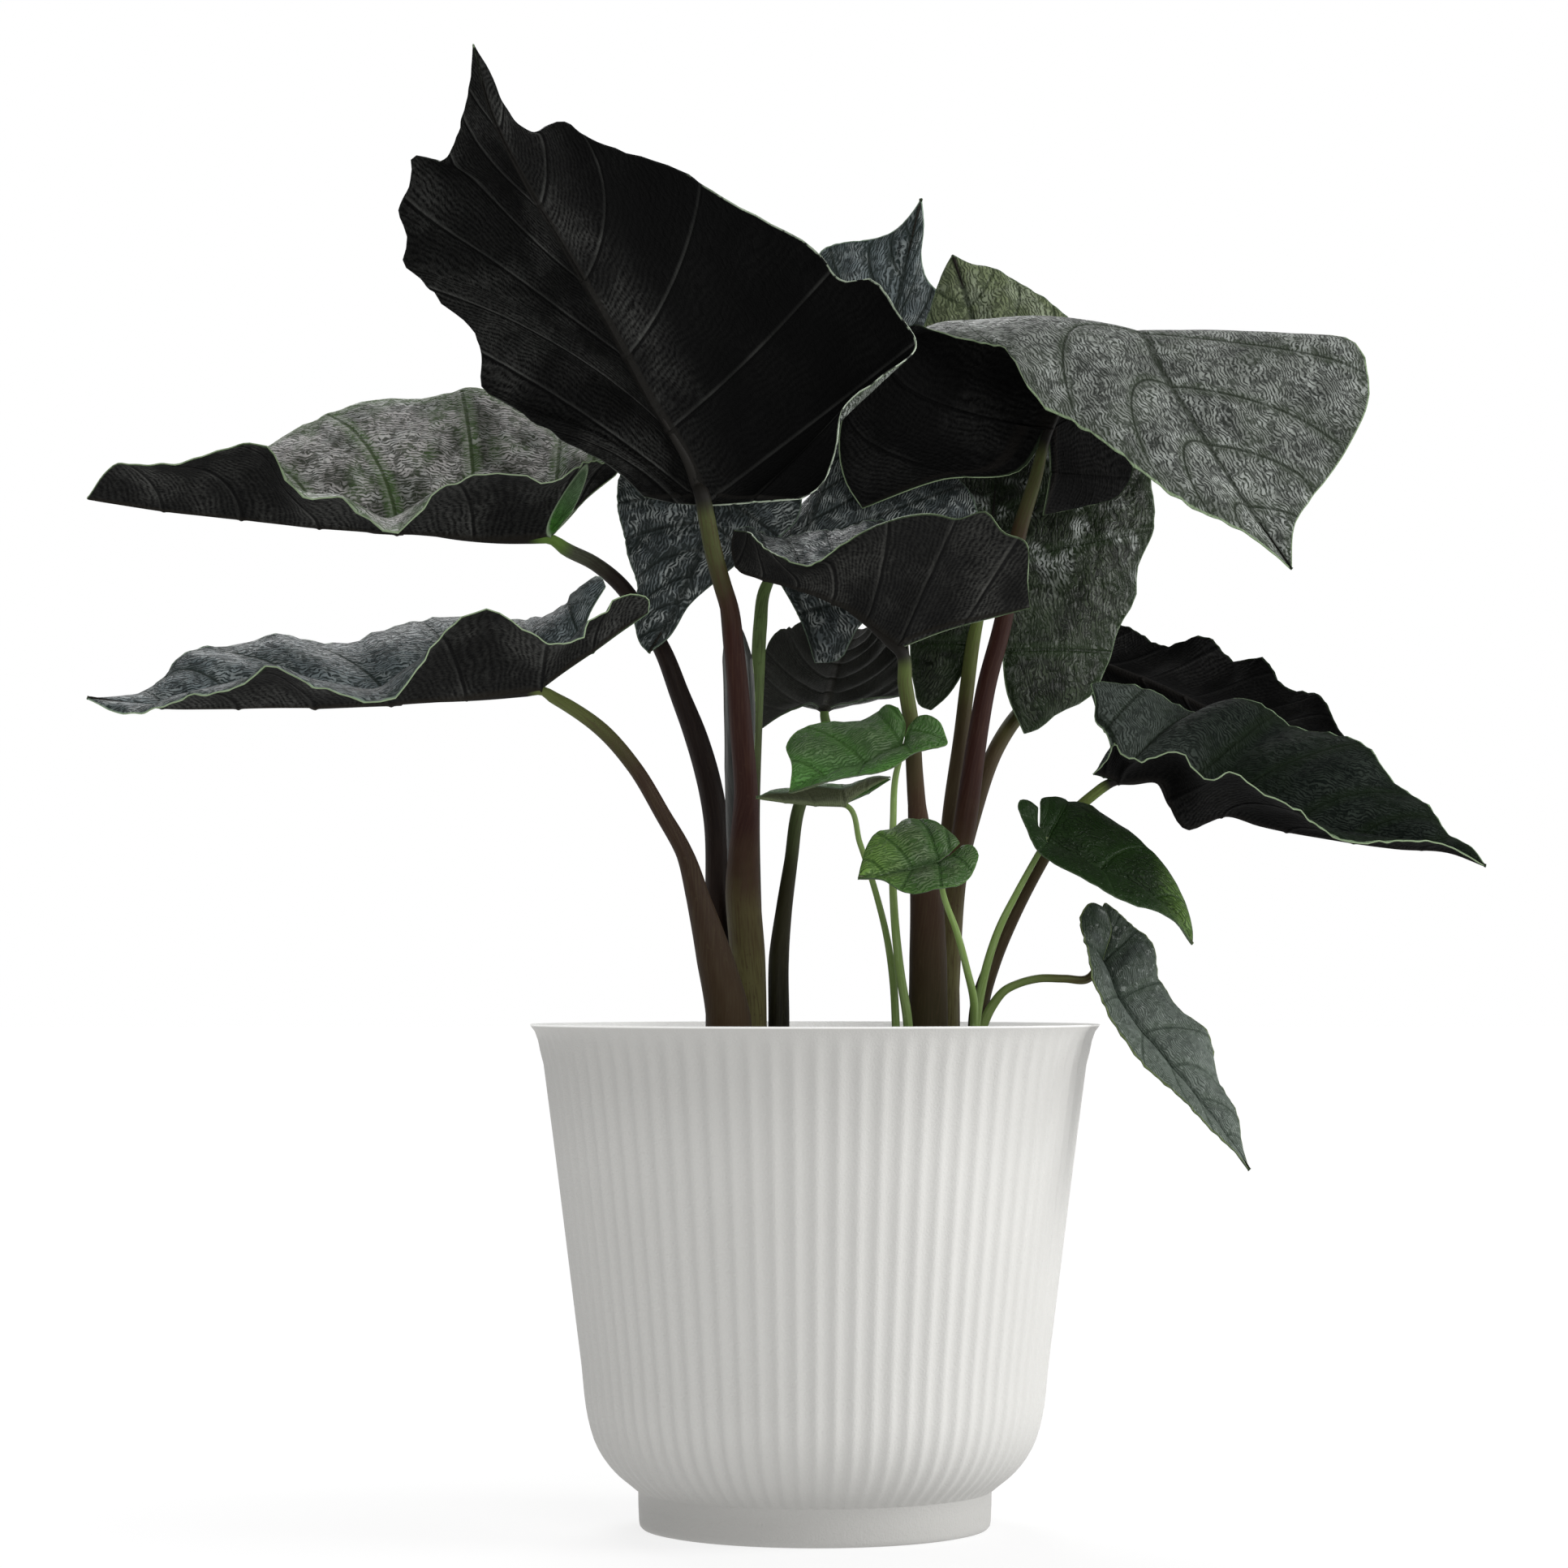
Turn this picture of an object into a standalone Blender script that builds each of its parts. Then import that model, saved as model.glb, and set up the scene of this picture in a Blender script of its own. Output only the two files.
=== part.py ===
"""Potted alocasia: 17 folded, waved arrow-head leaves on sheathed stalks in a fluted pot.

Metres, +Z up. The origin is the middle of the pot's flat underside. The plant's front faces -Y.
"""

import math

import bpy
import numpy as np
from mathutils import Vector
from mathutils.bvhtree import BVHTree

MM = 0.001
GAP = 0.3

# Driving dimensions of the pot, in millimetres
POT_HEIGHT = 212.0
RIM_RADIUS = 120.0
FOOT_RADIUS = 71.0
RIB_COUNT = 80
RIB_HEIGHT = 0.9

# Outer profile of the pot: radius, height, share of the full rib height
POT_OUTSIDE = [
    (FOOT_RADIUS, 0.0, 0.0), (74.0, 3.0, 0.0), (74.4, 16.2, 0.0), (82.0, 22.8, 0.9),
    (89.0, 31.3, 1.0), (94.0, 44.0, 1.0), (102.8, 113.0, 1.0), (113.2, 195.0, 1.0),
    (115.8, 205.6, 0.6), (RIM_RADIUS, POT_HEIGHT - 0.8, 0.0), (RIM_RADIUS - 0.5, POT_HEIGHT, 0.0),
]

# Inner wall of the pot, from the lip down to the floor: radius, height
POT_INSIDE = [
    (RIM_RADIUS - 2.4, POT_HEIGHT), (112.2, 204.0), (110.2, 194.0), (99.6, 113.0),
    (90.8, 45.0), (85.0, 32.5), (71.0, 20.0), (70.5, 4.0),
]

# Soil
SOIL_TOP = 191.0
SOIL_CROWN = 3.5
SOIL_SEGMENTS = 48
SOIL_BUMP = 1.1
ROOT_DEPTH = 14.0

# Leaf blades
BLADE_THICKNESS = 1.1
KEEL_HEIGHT = 1.7
PUFF_HEIGHT = 1.5
MARGIN_WAVE = 1.6
PHASE_STEP = 0.37
ARCH = 0.10
CREASES = 8
LOBE_CREASES = 2
YOUNG_CREASES = 5
CREASE_ROWS = 2
COLUMN_STOPS = (0.0, 0.15, 0.58, 1.0)

# Leaf stalks
STALK_SIDES = 8
STALK_STEPS = 10
JOINT_TAPER = 0.75
JOINT_STEP = 0.0006

# The plant is drawn as the eye sees it from EYE_DISTANCE in front of the pot's axis. Each point
# is (x, z, depth): x and z in the plane of the axis, then how far the point lies behind it.
EYE_DISTANCE = 1895.0
EYE_X = -13.0
EYE_Z = 230.6

# Each leaf has a midrib from the stalk's joint to the tip, and two sides as they lie when the
# upper face is looked at with the tip ahead. A side has its sinus edge from the end of the lobe
# to the joint, its lobe's outer edge as far as the shoulder, and its margin on to the tip.
# A crown, where there is one, is the line that the middle of the side follows.
LEAVES = {
    "crest": {
        "midrib": [(-46, 430, -30), (-54, 450, -38), (-70, 476, -48), (-87, 507, -58),
                   (-107, 541, -68), (-124, 570, -77), (-136, 595, -84), (-144, 625, -90)],
        "left": {
            "sinus": [(-6, 433, -36), (-30, 431, -33)],
            "lobe": [(2, 438, -36), (9, 454, -38), (12, 471, -40), (28, 484, -42),
                     (43, 498, -44)],
            "margin": [(35, 512, -42), (24, 526, -38), (12, 525, -34), (0, 538, -34),
                       (-21, 551, -36), (-39, 561, -40), (-56, 571, -44), (-80, 579, -50),
                       (-92, 584, -54), (-107, 593, -60), (-119, 588, -66), (-130, 597, -74),
                       (-137, 613, -82)],
        },
        "right": {
            "sinus": [(-72, 434, -26), (-58, 431, -28)],
            "lobe": [(-85, 446, -26), (-104, 458, -26), (-124, 470, -28), (-141, 481, -30),
                     (-141, 494, -33)],
            "margin": [(-147, 508, -36), (-154, 514, -39), (-167, 526, -43), (-174, 531, -45),
                       (-172, 542, -49), (-175, 555, -53), (-170, 567, -56), (-170, 577, -58),
                       (-158, 575, -63), (-152, 583, -69), (-147, 599, -78)],
        },
    },
    "upper_left": {
        "midrib": [(-111, 417, 28), (-138, 416, 27), (-169, 419, 25), (-207, 421, 22),
                   (-241, 424, 19), (-275, 428, 15), (-307, 433, 10)],
        "left": {
            "sinus": [(-84, 443, 4), (-95, 434, 11), (-105, 424, 18), (-109, 419, 24)],
            "lobe": [(-82, 446, 2), (-90, 449, -2), (-99, 446, -6)],
            "margin": [(-111, 440, -10), (-123, 444, -12), (-136, 445, -14), (-153, 439, -18),
                       (-160, 434, -22), (-167, 424, -25), (-178, 418, -28), (-191, 428, -27),
                       (-200, 435, -25), (-215, 434, -24), (-225, 443, -18), (-232, 455, -12),
                       (-246, 455, -11), (-265, 450, -12), (-281, 448, -9), (-295, 447, -2)],
        },
        "right": {
            "sinus": [(-88, 442, 46), (-98, 431, 39), (-106, 422, 32)],
            "lobe": [(-85, 446, 50), (-94, 455, 56), (-107, 461, 58)],
            "margin": [(-130, 474, 62), (-143, 479, 64), (-159, 476, 64), (-189, 475, 62),
                       (-207, 467, 59), (-225, 458, 54), (-240, 450, 48), (-262, 443, 38),
                       (-285, 437, 24)],
        },
    },
    "lower_left": {
        "midrib": [(-115, 353, -25), (-138, 350, -26), (-189, 347, -28), (-241, 345, -31),
                   (-273, 345, -34), (-307, 349, -38)],
        "left": {
            "sinus": [(-70, 385, -44), (-77, 380, -43), (-91, 370, -38), (-107, 359, -29)],
            "lobe": [(-70, 391, -46), (-77, 393, -50), (-83, 391, -53), (-87, 385, -56),
                     (-94, 381, -58), (-98, 375, -60), (-112, 374, -63)],
            "margin": [(-124, 380, -65), (-138, 386, -66), (-149, 381, -69), (-169, 361, -76),
                       (-180, 349, -79), (-200, 350, -79), (-217, 355, -77), (-229, 363, -73),
                       (-244, 355, -71), (-263, 350, -66), (-275, 344, -60), (-290, 342, -50)],
        },
        "right": {
            "sinus": [(-88, 396, 4), (-94, 386, -2), (-99, 373, -12)],
            "lobe": [(-90, 400, 8), (-98, 396, 9), (-108, 388, 10), (-124, 382, 12)],
            "margin": [(-149, 383, 14), (-166, 383, 14), (-183, 378, 13), (-196, 371, 12),
                       (-212, 372, 10), (-225, 377, 7), (-244, 372, 2), (-265, 367, -6),
                       (-276, 356, -14), (-290, 350, -24)],
        },
    },
    "upper_right": {
        "midrib": [(98, 462, 25), (113, 490, 28), (135, 504, 18), (146, 487, -4),
                   (159, 466, -20), (180, 433, -38), (201, 403, -50)],
        "left": {
            "sinus": [(96, 426, 20), (99, 446, 24)],
            "lobe": [(115, 430, 34), (128, 434, 42), (136, 459, 50), (146, 489, 54)],
            "margin": [(159, 500, 52), (187, 496, 44), (207, 501, 34), (227, 498, 22),
                       (234, 480, 6), (226, 457, -12), (218, 444, -21), (209, 433, -30),
                       (202, 421, -43)],
            "arch": 0.0,
        },
        "right": {
            "sinus": [(20, 429, 12), (53, 441, 14), (88, 446, 20)],
            "lobe": [(13, 440, 14), (11, 465, 18), (24, 489, 20), (40, 506, 14)],
            "margin": [(53, 504, 2), (67, 500, -8), (81, 494, -18), (87, 484, -26),
                       (96, 473, -32), (108, 467, -36), (122, 456, -42), (135, 445, -46),
                       (156, 432, -51), (180, 419, -53), (195, 408, -52)],
            "crown": ([(24, 448, 20), (38, 480, 26)],
                      [(56, 505, 22), (80, 508, 8), (102, 504, -6), (122, 487, -20),
                       (143, 463, -34), (170, 436, -46)]),
        },
    },
    "rear_top": {
        "midrib": [(24, 459, 100), (28, 482, 103), (33, 506, 104), (38, 530, 101), (45, 560, 94)],
        "left": {
            "sinus": [(4, 438, 104), (14, 449, 101)],
            "lobe": [(-8, 450, 108), (-12, 475, 112), (-10, 500, 114)],
            "margin": [(-4, 525, 114), (4, 539, 112), (12, 541, 110), (21, 542, 107),
                       (33, 546, 103), (42, 555, 97)],
        },
        "right": {
            "sinus": [(46, 438, 104), (35, 449, 101)],
            "lobe": [(58, 450, 108), (62, 472, 111), (59, 492, 111)],
            "margin": [(50, 510, 109), (52, 519, 107), (47, 526, 104), (45, 535, 101),
                       (46, 549, 97)],
        },
    },
    "rear_right": {
        "midrib": [(72, 404, 50), (76, 438, 62), (75, 472, 74), (67, 507, 83), (58, 536, 88)],
        "left": {
            "sinus": [(49, 344, 44), (56, 350, 43), (61, 357, 42), (65, 366, 43), (68, 378, 44)],
            "lobe": [(44, 346, 45), (42, 353, 47), (40, 373, 52), (37, 404, 58)],
            "margin": [(35, 438, 68), (37, 472, 78), (42, 496, 84), (48, 511, 87),
                       (52, 524, 89), (55, 531, 89)],
        },
        "right": {
            "sinus": [(88, 334, 44), (81, 350, 43), (78, 375, 45)],
            "lobe": [(94, 336, 47), (101, 342, 50), (115, 349, 55), (124, 364, 60), (129, 380, 64),
                     (135, 390, 67), (136, 404, 70), (142, 419, 74)],
            "margin": [(142, 438, 78), (135, 466, 84), (122, 493, 88), (103, 512, 91),
                       (88, 523, 91), (74, 531, 90), (66, 532, 89)],
        },
    },
    "middle": {
        "midrib": [(36, 370, -60), (16, 385, -50), (-6, 395, -38), (-24, 400, -26),
                   (-32, 403, -18), (-35, 412, -13), (-34, 420, -9)],
        "left": {
            "arch": 0.04,
            "sinus": [(91, 387, -61), (76, 383, -62), (54, 377, -62)],
            "lobe": [(90, 397, -64), (88, 416, -66), (80, 419, -67), (72, 428, -66),
                     (60, 425, -66)],
            "margin": [(50, 427, -67), (28, 423, -65), (12, 414, -62), (-2, 406, -55),
                       (-18, 410, -42), (-27, 419, -23)],
        },
        "right": {
            "arch": 0.03,
            "sinus": [(62, 388, -34), (48, 379, -46)],
            "lobe": [(68, 400, -24), (60, 414, -18), (46, 421, -15)],
            "margin": [(26, 423, -9), (8, 421, -3), (-8, 417, 2), (-20, 419, 4),
                       (-29, 421, 1)],
        },
    },
    "rear_middle": {
        "midrib": [(-18, 402, 30), (-4, 420, 28), (4, 440, 32), (9, 458, 38), (11, 471, 45)],
        "left": {
            "sinus": [(-27, 402, 38), (-22, 402, 34)],
            "lobe": [(-27, 410, 42), (-17, 419, 43)],
            "margin": [(-10, 425, 45), (0, 437, 47), (8, 452, 47)],
        },
        "right": {
            "sinus": [(0, 364, 20), (-5, 379, 21), (-14, 396, 26)],
            "lobe": [(10, 365, 18), (18, 378, 18), (36, 390, 22), (60, 407, 28), (69, 424, 33)],
            "margin": [(64, 438, 37), (46, 452, 41), (26, 463, 44)],
        },
    },
    "drooping": {
        "midrib": [(-42, 435, 18), (-46, 418, 15), (-53, 400, 12), (-61, 383, 9), (-70, 368, 6)],
        "left": {
            "sinus": [(-17, 442, 24), (-31, 440, 20)],
            "lobe": [(-6, 435, 24), (-7, 425, 23), (-15, 417, 22)],
            "margin": [(-25, 411, 20), (-42, 398, 17), (-53, 388, 13), (-62, 374, 8)],
        },
        "right": {
            "sinus": [(-71, 450, 26), (-56, 445, 21)],
            "lobe": [(-81, 446, 26), (-83, 431, 25)],
            "margin": [(-79, 411, 23), (-75, 395, 19), (-76, 380, 13), (-73, 371, 8)],
        },
    },
    "rear_low": {
        "midrib": [(4, 344, 45), (7, 354, 62), (11, 366, 82), (19, 378, 106)],
        "left": {
            "sinus": [(36, 350, 50), (23, 349, 48), (14, 347, 46), (8, 346, 45)],
            "lobe": [(40, 355, 57), (40, 363, 66)],
            "margin": [(38, 374, 80), (30, 381, 94)],
        },
        "right": {
            "sinus": [(-23, 336, 50), (-14, 342, 48), (-7, 345, 46), (-1, 347, 45)],
            "lobe": [(-24, 344, 56), (-22, 357, 64)],
            "margin": [(-20, 372, 76), (-10, 380, 90), (4, 384, 102)],
        },
    },
    "right": {
        "midrib": [(127, 314, -15), (140, 315, -16), (147, 314, -16), (150, 305, -16),
                   (157, 294, -17), (164, 297, -17), (172, 300, -17), (187, 296, -18),
                   (218, 290, -19), (245, 286, -20), (268, 284, -21), (283, 278, -22)],
        "left": {
            "sinus": [(116, 355, 12), (118, 348, 8), (118, 339, 3), (122, 335, -2),
                      (124, 330, -6), (125, 323, -10)],
            "lobe": [(119, 356, 15), (130, 355, 19), (142, 351, 23), (156, 345, 26),
                     (163, 344, 27)],
            "margin": [(169, 346, 28), (175, 349, 28), (187, 346, 27), (200, 338, 24),
                       (218, 335, 19), (231, 329, 13), (243, 315, 6), (258, 305, -2),
                       (267, 291, -11), (277, 286, -18)],
        },
        "right": {
            "sinus": [(117, 317, -26), (121, 316, -20)],
            "lobe": [(122, 321, -30), (125, 325, -34), (126, 330, -38), (131, 326, -43),
                     (140, 323, -46)],
            "margin": [(153, 325, -48), (158, 320, -49), (164, 315, -50), (177, 319, -50),
                       (187, 310, -49), (204, 300, -47), (224, 290, -43), (245, 288, -37),
                       (264, 288, -29)],
        },
    },
    "right_rear": {
        "midrib": [(120, 363, 88), (146, 353, 80), (170, 342, 74), (204, 334, 66), (229, 327, 58)],
        "left": {
            "sinus": [(118, 346, 70), (116, 355, 80)],
            "lobe": [(130, 342, 62), (145, 337, 57)],
            "margin": [(165, 331, 53), (190, 327, 51), (212, 325, 53)],
        },
        "right": {
            "sinus": [(119, 382, 100), (115, 372, 94)],
            "lobe": [(128, 380, 103), (136, 377, 103), (148, 372, 102)],
            "margin": [(166, 374, 99), (177, 366, 95), (188, 366, 90), (197, 355, 84),
                       (212, 351, 75), (221, 336, 66)],
        },
    },
    "young_centre": {
        "midrib": [(37, 329, -75), (22, 321, -79), (6, 315, -83), (-4, 311, -86), (-11, 309, -90)],
        "left": {
            "sinus": [(43, 341, -66), (40, 338, -68)],
            "lobe": [(47, 342, -65), (52, 340, -67), (55, 334, -71), (56, 330, -75),
                     (53, 328, -80), (41, 325, -90)],
            "margin": [(33, 321, -97), (23, 317, -102), (12, 314, -104), (0, 313, -100)],
        },
        "right": {
            "sinus": [(35, 345, -61), (38, 339, -66)],
            "lobe": [(32, 346, -60), (26, 344, -60)],
            "margin": [(19, 340, -60), (14, 339, -61), (5, 338, -63), (-1, 337, -66),
                       (-8, 335, -71), (-12, 329, -78), (-10, 322, -84)],
        },
    },
    "young_left": {
        "midrib": [(13, 305, -52), (-1, 305, -55), (-15, 306, -58), (-25, 307, -60)],
        "left": {
            "sinus": [(32, 316, -56), (22, 311, -54)],
            "lobe": [(27, 316, -62), (19, 314, -66), (12, 312, -68)],
            "margin": [(-1, 311, -69), (-12, 310, -67), (-20, 309, -64)],
        },
        "right": {
            "sinus": [(32, 315, -42), (22, 309, -47)],
            "lobe": [(24, 315, -36), (12, 312, -32)],
            "margin": [(-5, 312, -36), (-17, 310, -46)],
        },
    },
    "young_front": {
        "midrib": [(52, 280, -92), (42, 277, -96), (30, 274, -100), (18, 273, -104)],
        "left": {
            "sinus": [(62, 287, -87), (57, 283, -89)],
            "lobe": [(66, 287, -87), (69, 283, -90), (68, 279, -94), (66, 275, -99),
                     (62, 271, -104), (53, 268, -110)],
            "margin": [(45, 267, -113), (35, 269, -113), (28, 272, -110), (22, 273, -107)],
        },
        "right": {
            "sinus": [(61, 288, -83), (57, 284, -87)],
            "lobe": [(59, 291, -80), (54, 295, -76), (44, 298, -74)],
            "margin": [(38, 299, -76), (33, 295, -79), (26, 292, -84), (22, 287, -90),
                       (20, 281, -97)],
        },
    },
    "young_right": {
        "midrib": [(97, 288, -50), (113, 280, -54), (133, 270, -58), (150, 258, -61),
                   (159, 245, -64)],
        "left": {
            "sinus": [(95, 303, -45), (95, 296, -48)],
            "lobe": [(95, 305, -42), (96, 307, -38), (101, 307, -32), (107, 306, -28)],
            "margin": [(112, 306, -27), (117, 305, -27), (122, 301, -28), (130, 295, -31),
                       (139, 286, -38), (148, 277, -44), (156, 264, -51), (159, 252, -58)],
        },
        "right": {
            "sinus": [(94, 303, -50), (94, 296, -51)],
            "lobe": [(90, 306, -50), (86, 306, -53), (85, 303, -57), (87, 298, -61),
                     (90, 293, -66), (95, 285, -72)],
            "margin": [(101, 279, -77), (112, 272, -81), (123, 267, -83), (135, 263, -82),
                       (144, 260, -78), (151, 255, -74), (156, 249, -69)],
        },
    },
    "hanging": {
        "midrib": [(121, 238, -20), (130, 219, -27), (146, 199, -34), (163, 178, -39),
                   (183, 150, -45)],
        "left": {
            "sinus": [(121, 261, -18), (122, 256, -17), (123, 251, -18), (122, 246, -18)],
            "lobe": [(122, 263, -16), (125, 261, -15), (130, 257, -13), (136, 252, -11)],
            "margin": [(141, 247, -10), (143, 240, -10), (144, 233, -11), (149, 226, -12),
                       (155, 217, -14), (164, 209, -18), (171, 187, -25), (178, 172, -33),
                       (180, 161, -39)],
        },
        "right": {
            "sinus": [(120, 261, -23), (121, 256, -22), (122, 251, -22), (120, 246, -21)],
            "lobe": [(116, 263, -25), (113, 257, -28), (113, 252, -30), (116, 246, -32)],
            "margin": [(117, 237, -34), (118, 230, -36), (121, 223, -37), (124, 214, -39),
                       (132, 202, -44), (145, 189, -48), (161, 173, -51), (176, 159, -50)],
        },
    },
}

# The new leaf, still rolled up on its own stalk: x, z, depth, radius, from the tip down
FURLED_LEAF = [(-35, 386, -6, 0.8), (-34, 376, -5, 4.2), (-33, 366, -4, 6.0), (-32, 345, -3, 6.3),
               (-32, 320, -1, 6.0), (-33, 302, 2, 4.6), (-34, 285, 5, 3.0), (-32, 250, 10, 2.5),
               (-31, 214, 13, 2.5)]

YOUNG = ["young_centre", "young_left", "young_front", "young_right"]

# Each stalk from the leaf's joint down to the soil: x, z, depth, radius
STALKS = {
    "crest": [(-48, 436, -37, 3.2), (-46, 427, -35, 3.5), (-43, 412, -31, 3.7), (-39, 397, -29, 3.8),
              (-36, 387, -28, 3.9), (-34, 370, -27, 4.2), (-31, 336, -22, 4.8),
              (-29, 310, -17, 5.0), (-30, 267, -9, 7.6), (-28, 240, -4, 7.6), (-27, 214, -1, 7.2)],
    "upper_left": [(-111, 416, 28, 2.2), (-105, 412, 30, 3.0), (-93, 406, 32, 3.1),
                   (-83, 398, 33, 3.4), (-72, 383, 34, 3.6), (-64, 369, 33, 3.8),
                   (-57, 351, 31, 4.3), (-50, 333, 29, 5.0), (-46, 320, 27, 5.2),
                   (-42, 301, 22, 5.3), (-41, 262, 16, 5.1), (-41, 214, 12, 5.0)],
    "lower_left": [(-114, 352, -25, 2.0), (-111, 350, -25, 2.5), (-104, 346, -26, 2.8),
                   (-90, 336, -27, 3.1), (-76, 320, -28, 3.1), (-64, 300, -28, 3.3),
                   (-55, 284, -28, 3.6), (-49, 265, -28, 5.0), (-42, 240, -27, 7.6),
                   (-36, 214, -25, 9.4)],
    "upper_right": [(98, 461, 25, 2.2), (93, 442, 22, 2.8), (86, 419, 18, 3.4),
                    (79, 380, 14, 3.9), (72, 353, 12, 4.1), (69, 336, 11, 4.2),
                    (64, 301, 9, 4.9), (59, 270, 7, 4.6), (57, 240, 6, 4.6), (56, 214, 5, 4.6)],
    "rear_top": [(24, 458, 100, 1.8), (29, 430, 100, 2.0), (36, 385, 98, 2.2),
                 (39, 350, 88, 2.3), (41, 320, 74, 2.5), (45, 290, 60, 2.7),
                 (48, 240, 42, 3.0), (48, 214, 37, 3.0)],
    "rear_right": [(72, 403, 50, 2.2), (70, 390, 48, 2.6), (67, 375, 44, 3.0), (64, 353, 39, 3.2),
                   (62, 336, 35, 3.3), (57, 301, 28, 3.3), (53, 250, 22, 3.2), (52, 214, 19, 3.2)],
    "middle": [(36, 369, -60, 2.6), (38, 355, -57, 3.1), (41, 335, -52, 3.3), (42, 318, -46, 3.5),
               (43, 304, -41, 3.8), (47, 270, -30, 6.8), (48, 240, -24, 8.0),
               (48, 214, -20, 8.4)],
    "rear_middle": [(-18, 401, 30, 2.2), (-21, 395, 29, 2.6), (-23, 380, 27, 3.0),
                    (-24, 361, 25, 3.0), (-25, 336, 24, 2.9), (-26, 300, 23, 2.9),
                    (-25, 250, 23, 2.9), (-24, 214, 23, 2.9)],
    "drooping": [(-42, 434, 18, 2.0), (-41, 428, 24, 2.2), (-40, 412, 32, 2.3),
                 (-37, 380, 37, 2.4), (-34, 340, 37, 2.6), (-34, 290, 35, 2.8),
                 (-36, 240, 33, 3.0), (-36, 214, 32, 3.0)],
    "rear_low": [(4, 343, 45, 1.9), (5, 336, 41, 2.3), (1, 322, 36, 2.6), (-7, 302, 30, 2.8),
                 (-10, 281, 24, 2.9), (-13, 260, 19, 3.5), (-15, 240, 14, 4.4),
                 (-15, 214, 11, 4.6)],
    "right": [(126, 314, -15, 1.9), (122, 312, -15, 2.2), (118, 309, -15, 2.2),
              (108, 300, -15, 2.3), (98, 284, -15, 2.4), (85, 260, -14, 2.7),
              (76, 240, -12, 3.2), (70, 222, -11, 4.0)],
    "right_rear": [(120, 362, 88, 2.0), (104, 358, 78, 2.8), (84, 340, 61, 3.4),
                   (77, 329, 53, 3.5), (67, 301, 42, 3.5), (60, 270, 35, 3.3), (58, 250, 31, 3.2),
                   (58, 214, 28, 3.2)],
    "young_centre": [(37, 328, -75, 1.1), (34, 316, -70, 1.3), (33, 298, -64, 1.4),
                     (33, 267, -52, 1.6), (36, 233, -44, 1.9), (39, 214, -41, 2.0)],
    "young_left": [(13, 304, -52, 1.1), (19, 288, -47, 1.2), (26, 266, -42, 1.3),
                   (30, 250, -39, 1.4), (33, 230, -36, 1.6), (34, 214, -35, 1.7)],
    "young_front": [(52, 279, -92, 1.1), (54, 267, -86, 1.2), (60, 250, -76, 1.4),
                    (64, 235, -66, 1.5), (67, 221, -56, 1.7), (67, 212, -50, 1.8)],
    "young_right": [(96, 287, -50, 1.2), (85, 267, -46, 1.4), (78, 253, -42, 1.6),
                    (70, 226, -35, 1.9), (68, 214, -32, 2.0)],
    "hanging": [(120, 237, -19, 1.5), (115, 231, -18, 1.8), (105, 231, -18, 1.7),
                (94, 231, -18, 1.7), (86, 229, -19, 1.7), (80, 226, -20, 1.8),
                (75, 220, -20, 2.0), (71, 212, -21, 2.2)],
}

# Colours as red, green, blue, then roughness
POT_FINISH = ((0.84, 0.84, 0.83), 0.6)
SOIL_FINISH = ((0.045, 0.03, 0.022), 0.95)
DARK_LEAF = ((0.020, 0.026, 0.022), 0.55)
GREY_LEAF = ((0.13, 0.17, 0.14), 0.42)
BLUE_LEAF = ((0.17, 0.21, 0.20), 0.45)
YOUNG_LEAF = ((0.10, 0.19, 0.06), 0.4)
BROWN_STALK = ((0.085, 0.045, 0.028), 0.45)
GREEN_STALK = ((0.22, 0.33, 0.10), 0.4)
LEAF_FINISH = {
    "crest": DARK_LEAF, "middle": DARK_LEAF, "drooping": DARK_LEAF, "rear_low": DARK_LEAF,
    "right_rear": DARK_LEAF, "rear_top": BLUE_LEAF, "rear_middle": BLUE_LEAF,
    "young_centre": YOUNG_LEAF, "young_left": YOUNG_LEAF, "young_front": YOUNG_LEAF,
    "young_right": YOUNG_LEAF,
}


def clear_scene():
    """Remove every object that the open scene holds."""
    for item in list(bpy.data.objects):
        bpy.data.objects.remove(item, do_unlink=True)


def material(name, finish):
    """Return a Principled material of one colour and roughness."""
    colour, roughness = finish
    made = bpy.data.materials.new(name)
    made.use_nodes = True
    shader = made.node_tree.nodes["Principled BSDF"]
    shader.inputs["Base Color"].default_value = (*colour, 1.0)
    shader.inputs["Roughness"].default_value = roughness
    shader.inputs["Metallic"].default_value = 0.0
    return made


def add_object(name, points, faces, finish):
    """Add a mesh object from points in millimetres."""
    mesh = bpy.data.meshes.new(name)
    mesh.from_pydata([tuple(float(c) * MM for c in point) for point in points], [], faces)
    mesh.validate()
    mesh.materials.append(material(name, finish))
    mesh.shade_smooth()
    mesh.set_sharp_from_angle(angle=math.radians(50))
    made = bpy.data.objects.new(name, mesh)
    bpy.context.scene.collection.objects.link(made)
    return made


def seen(point):
    """Place a drawn point where the eye's sight line through it reaches its depth."""
    x, z, depth = point[:3]
    reach = (EYE_DISTANCE + depth) / EYE_DISTANCE
    return (EYE_X + (x - EYE_X) * reach, depth, EYE_Z + (z - EYE_Z) * reach)


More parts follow.
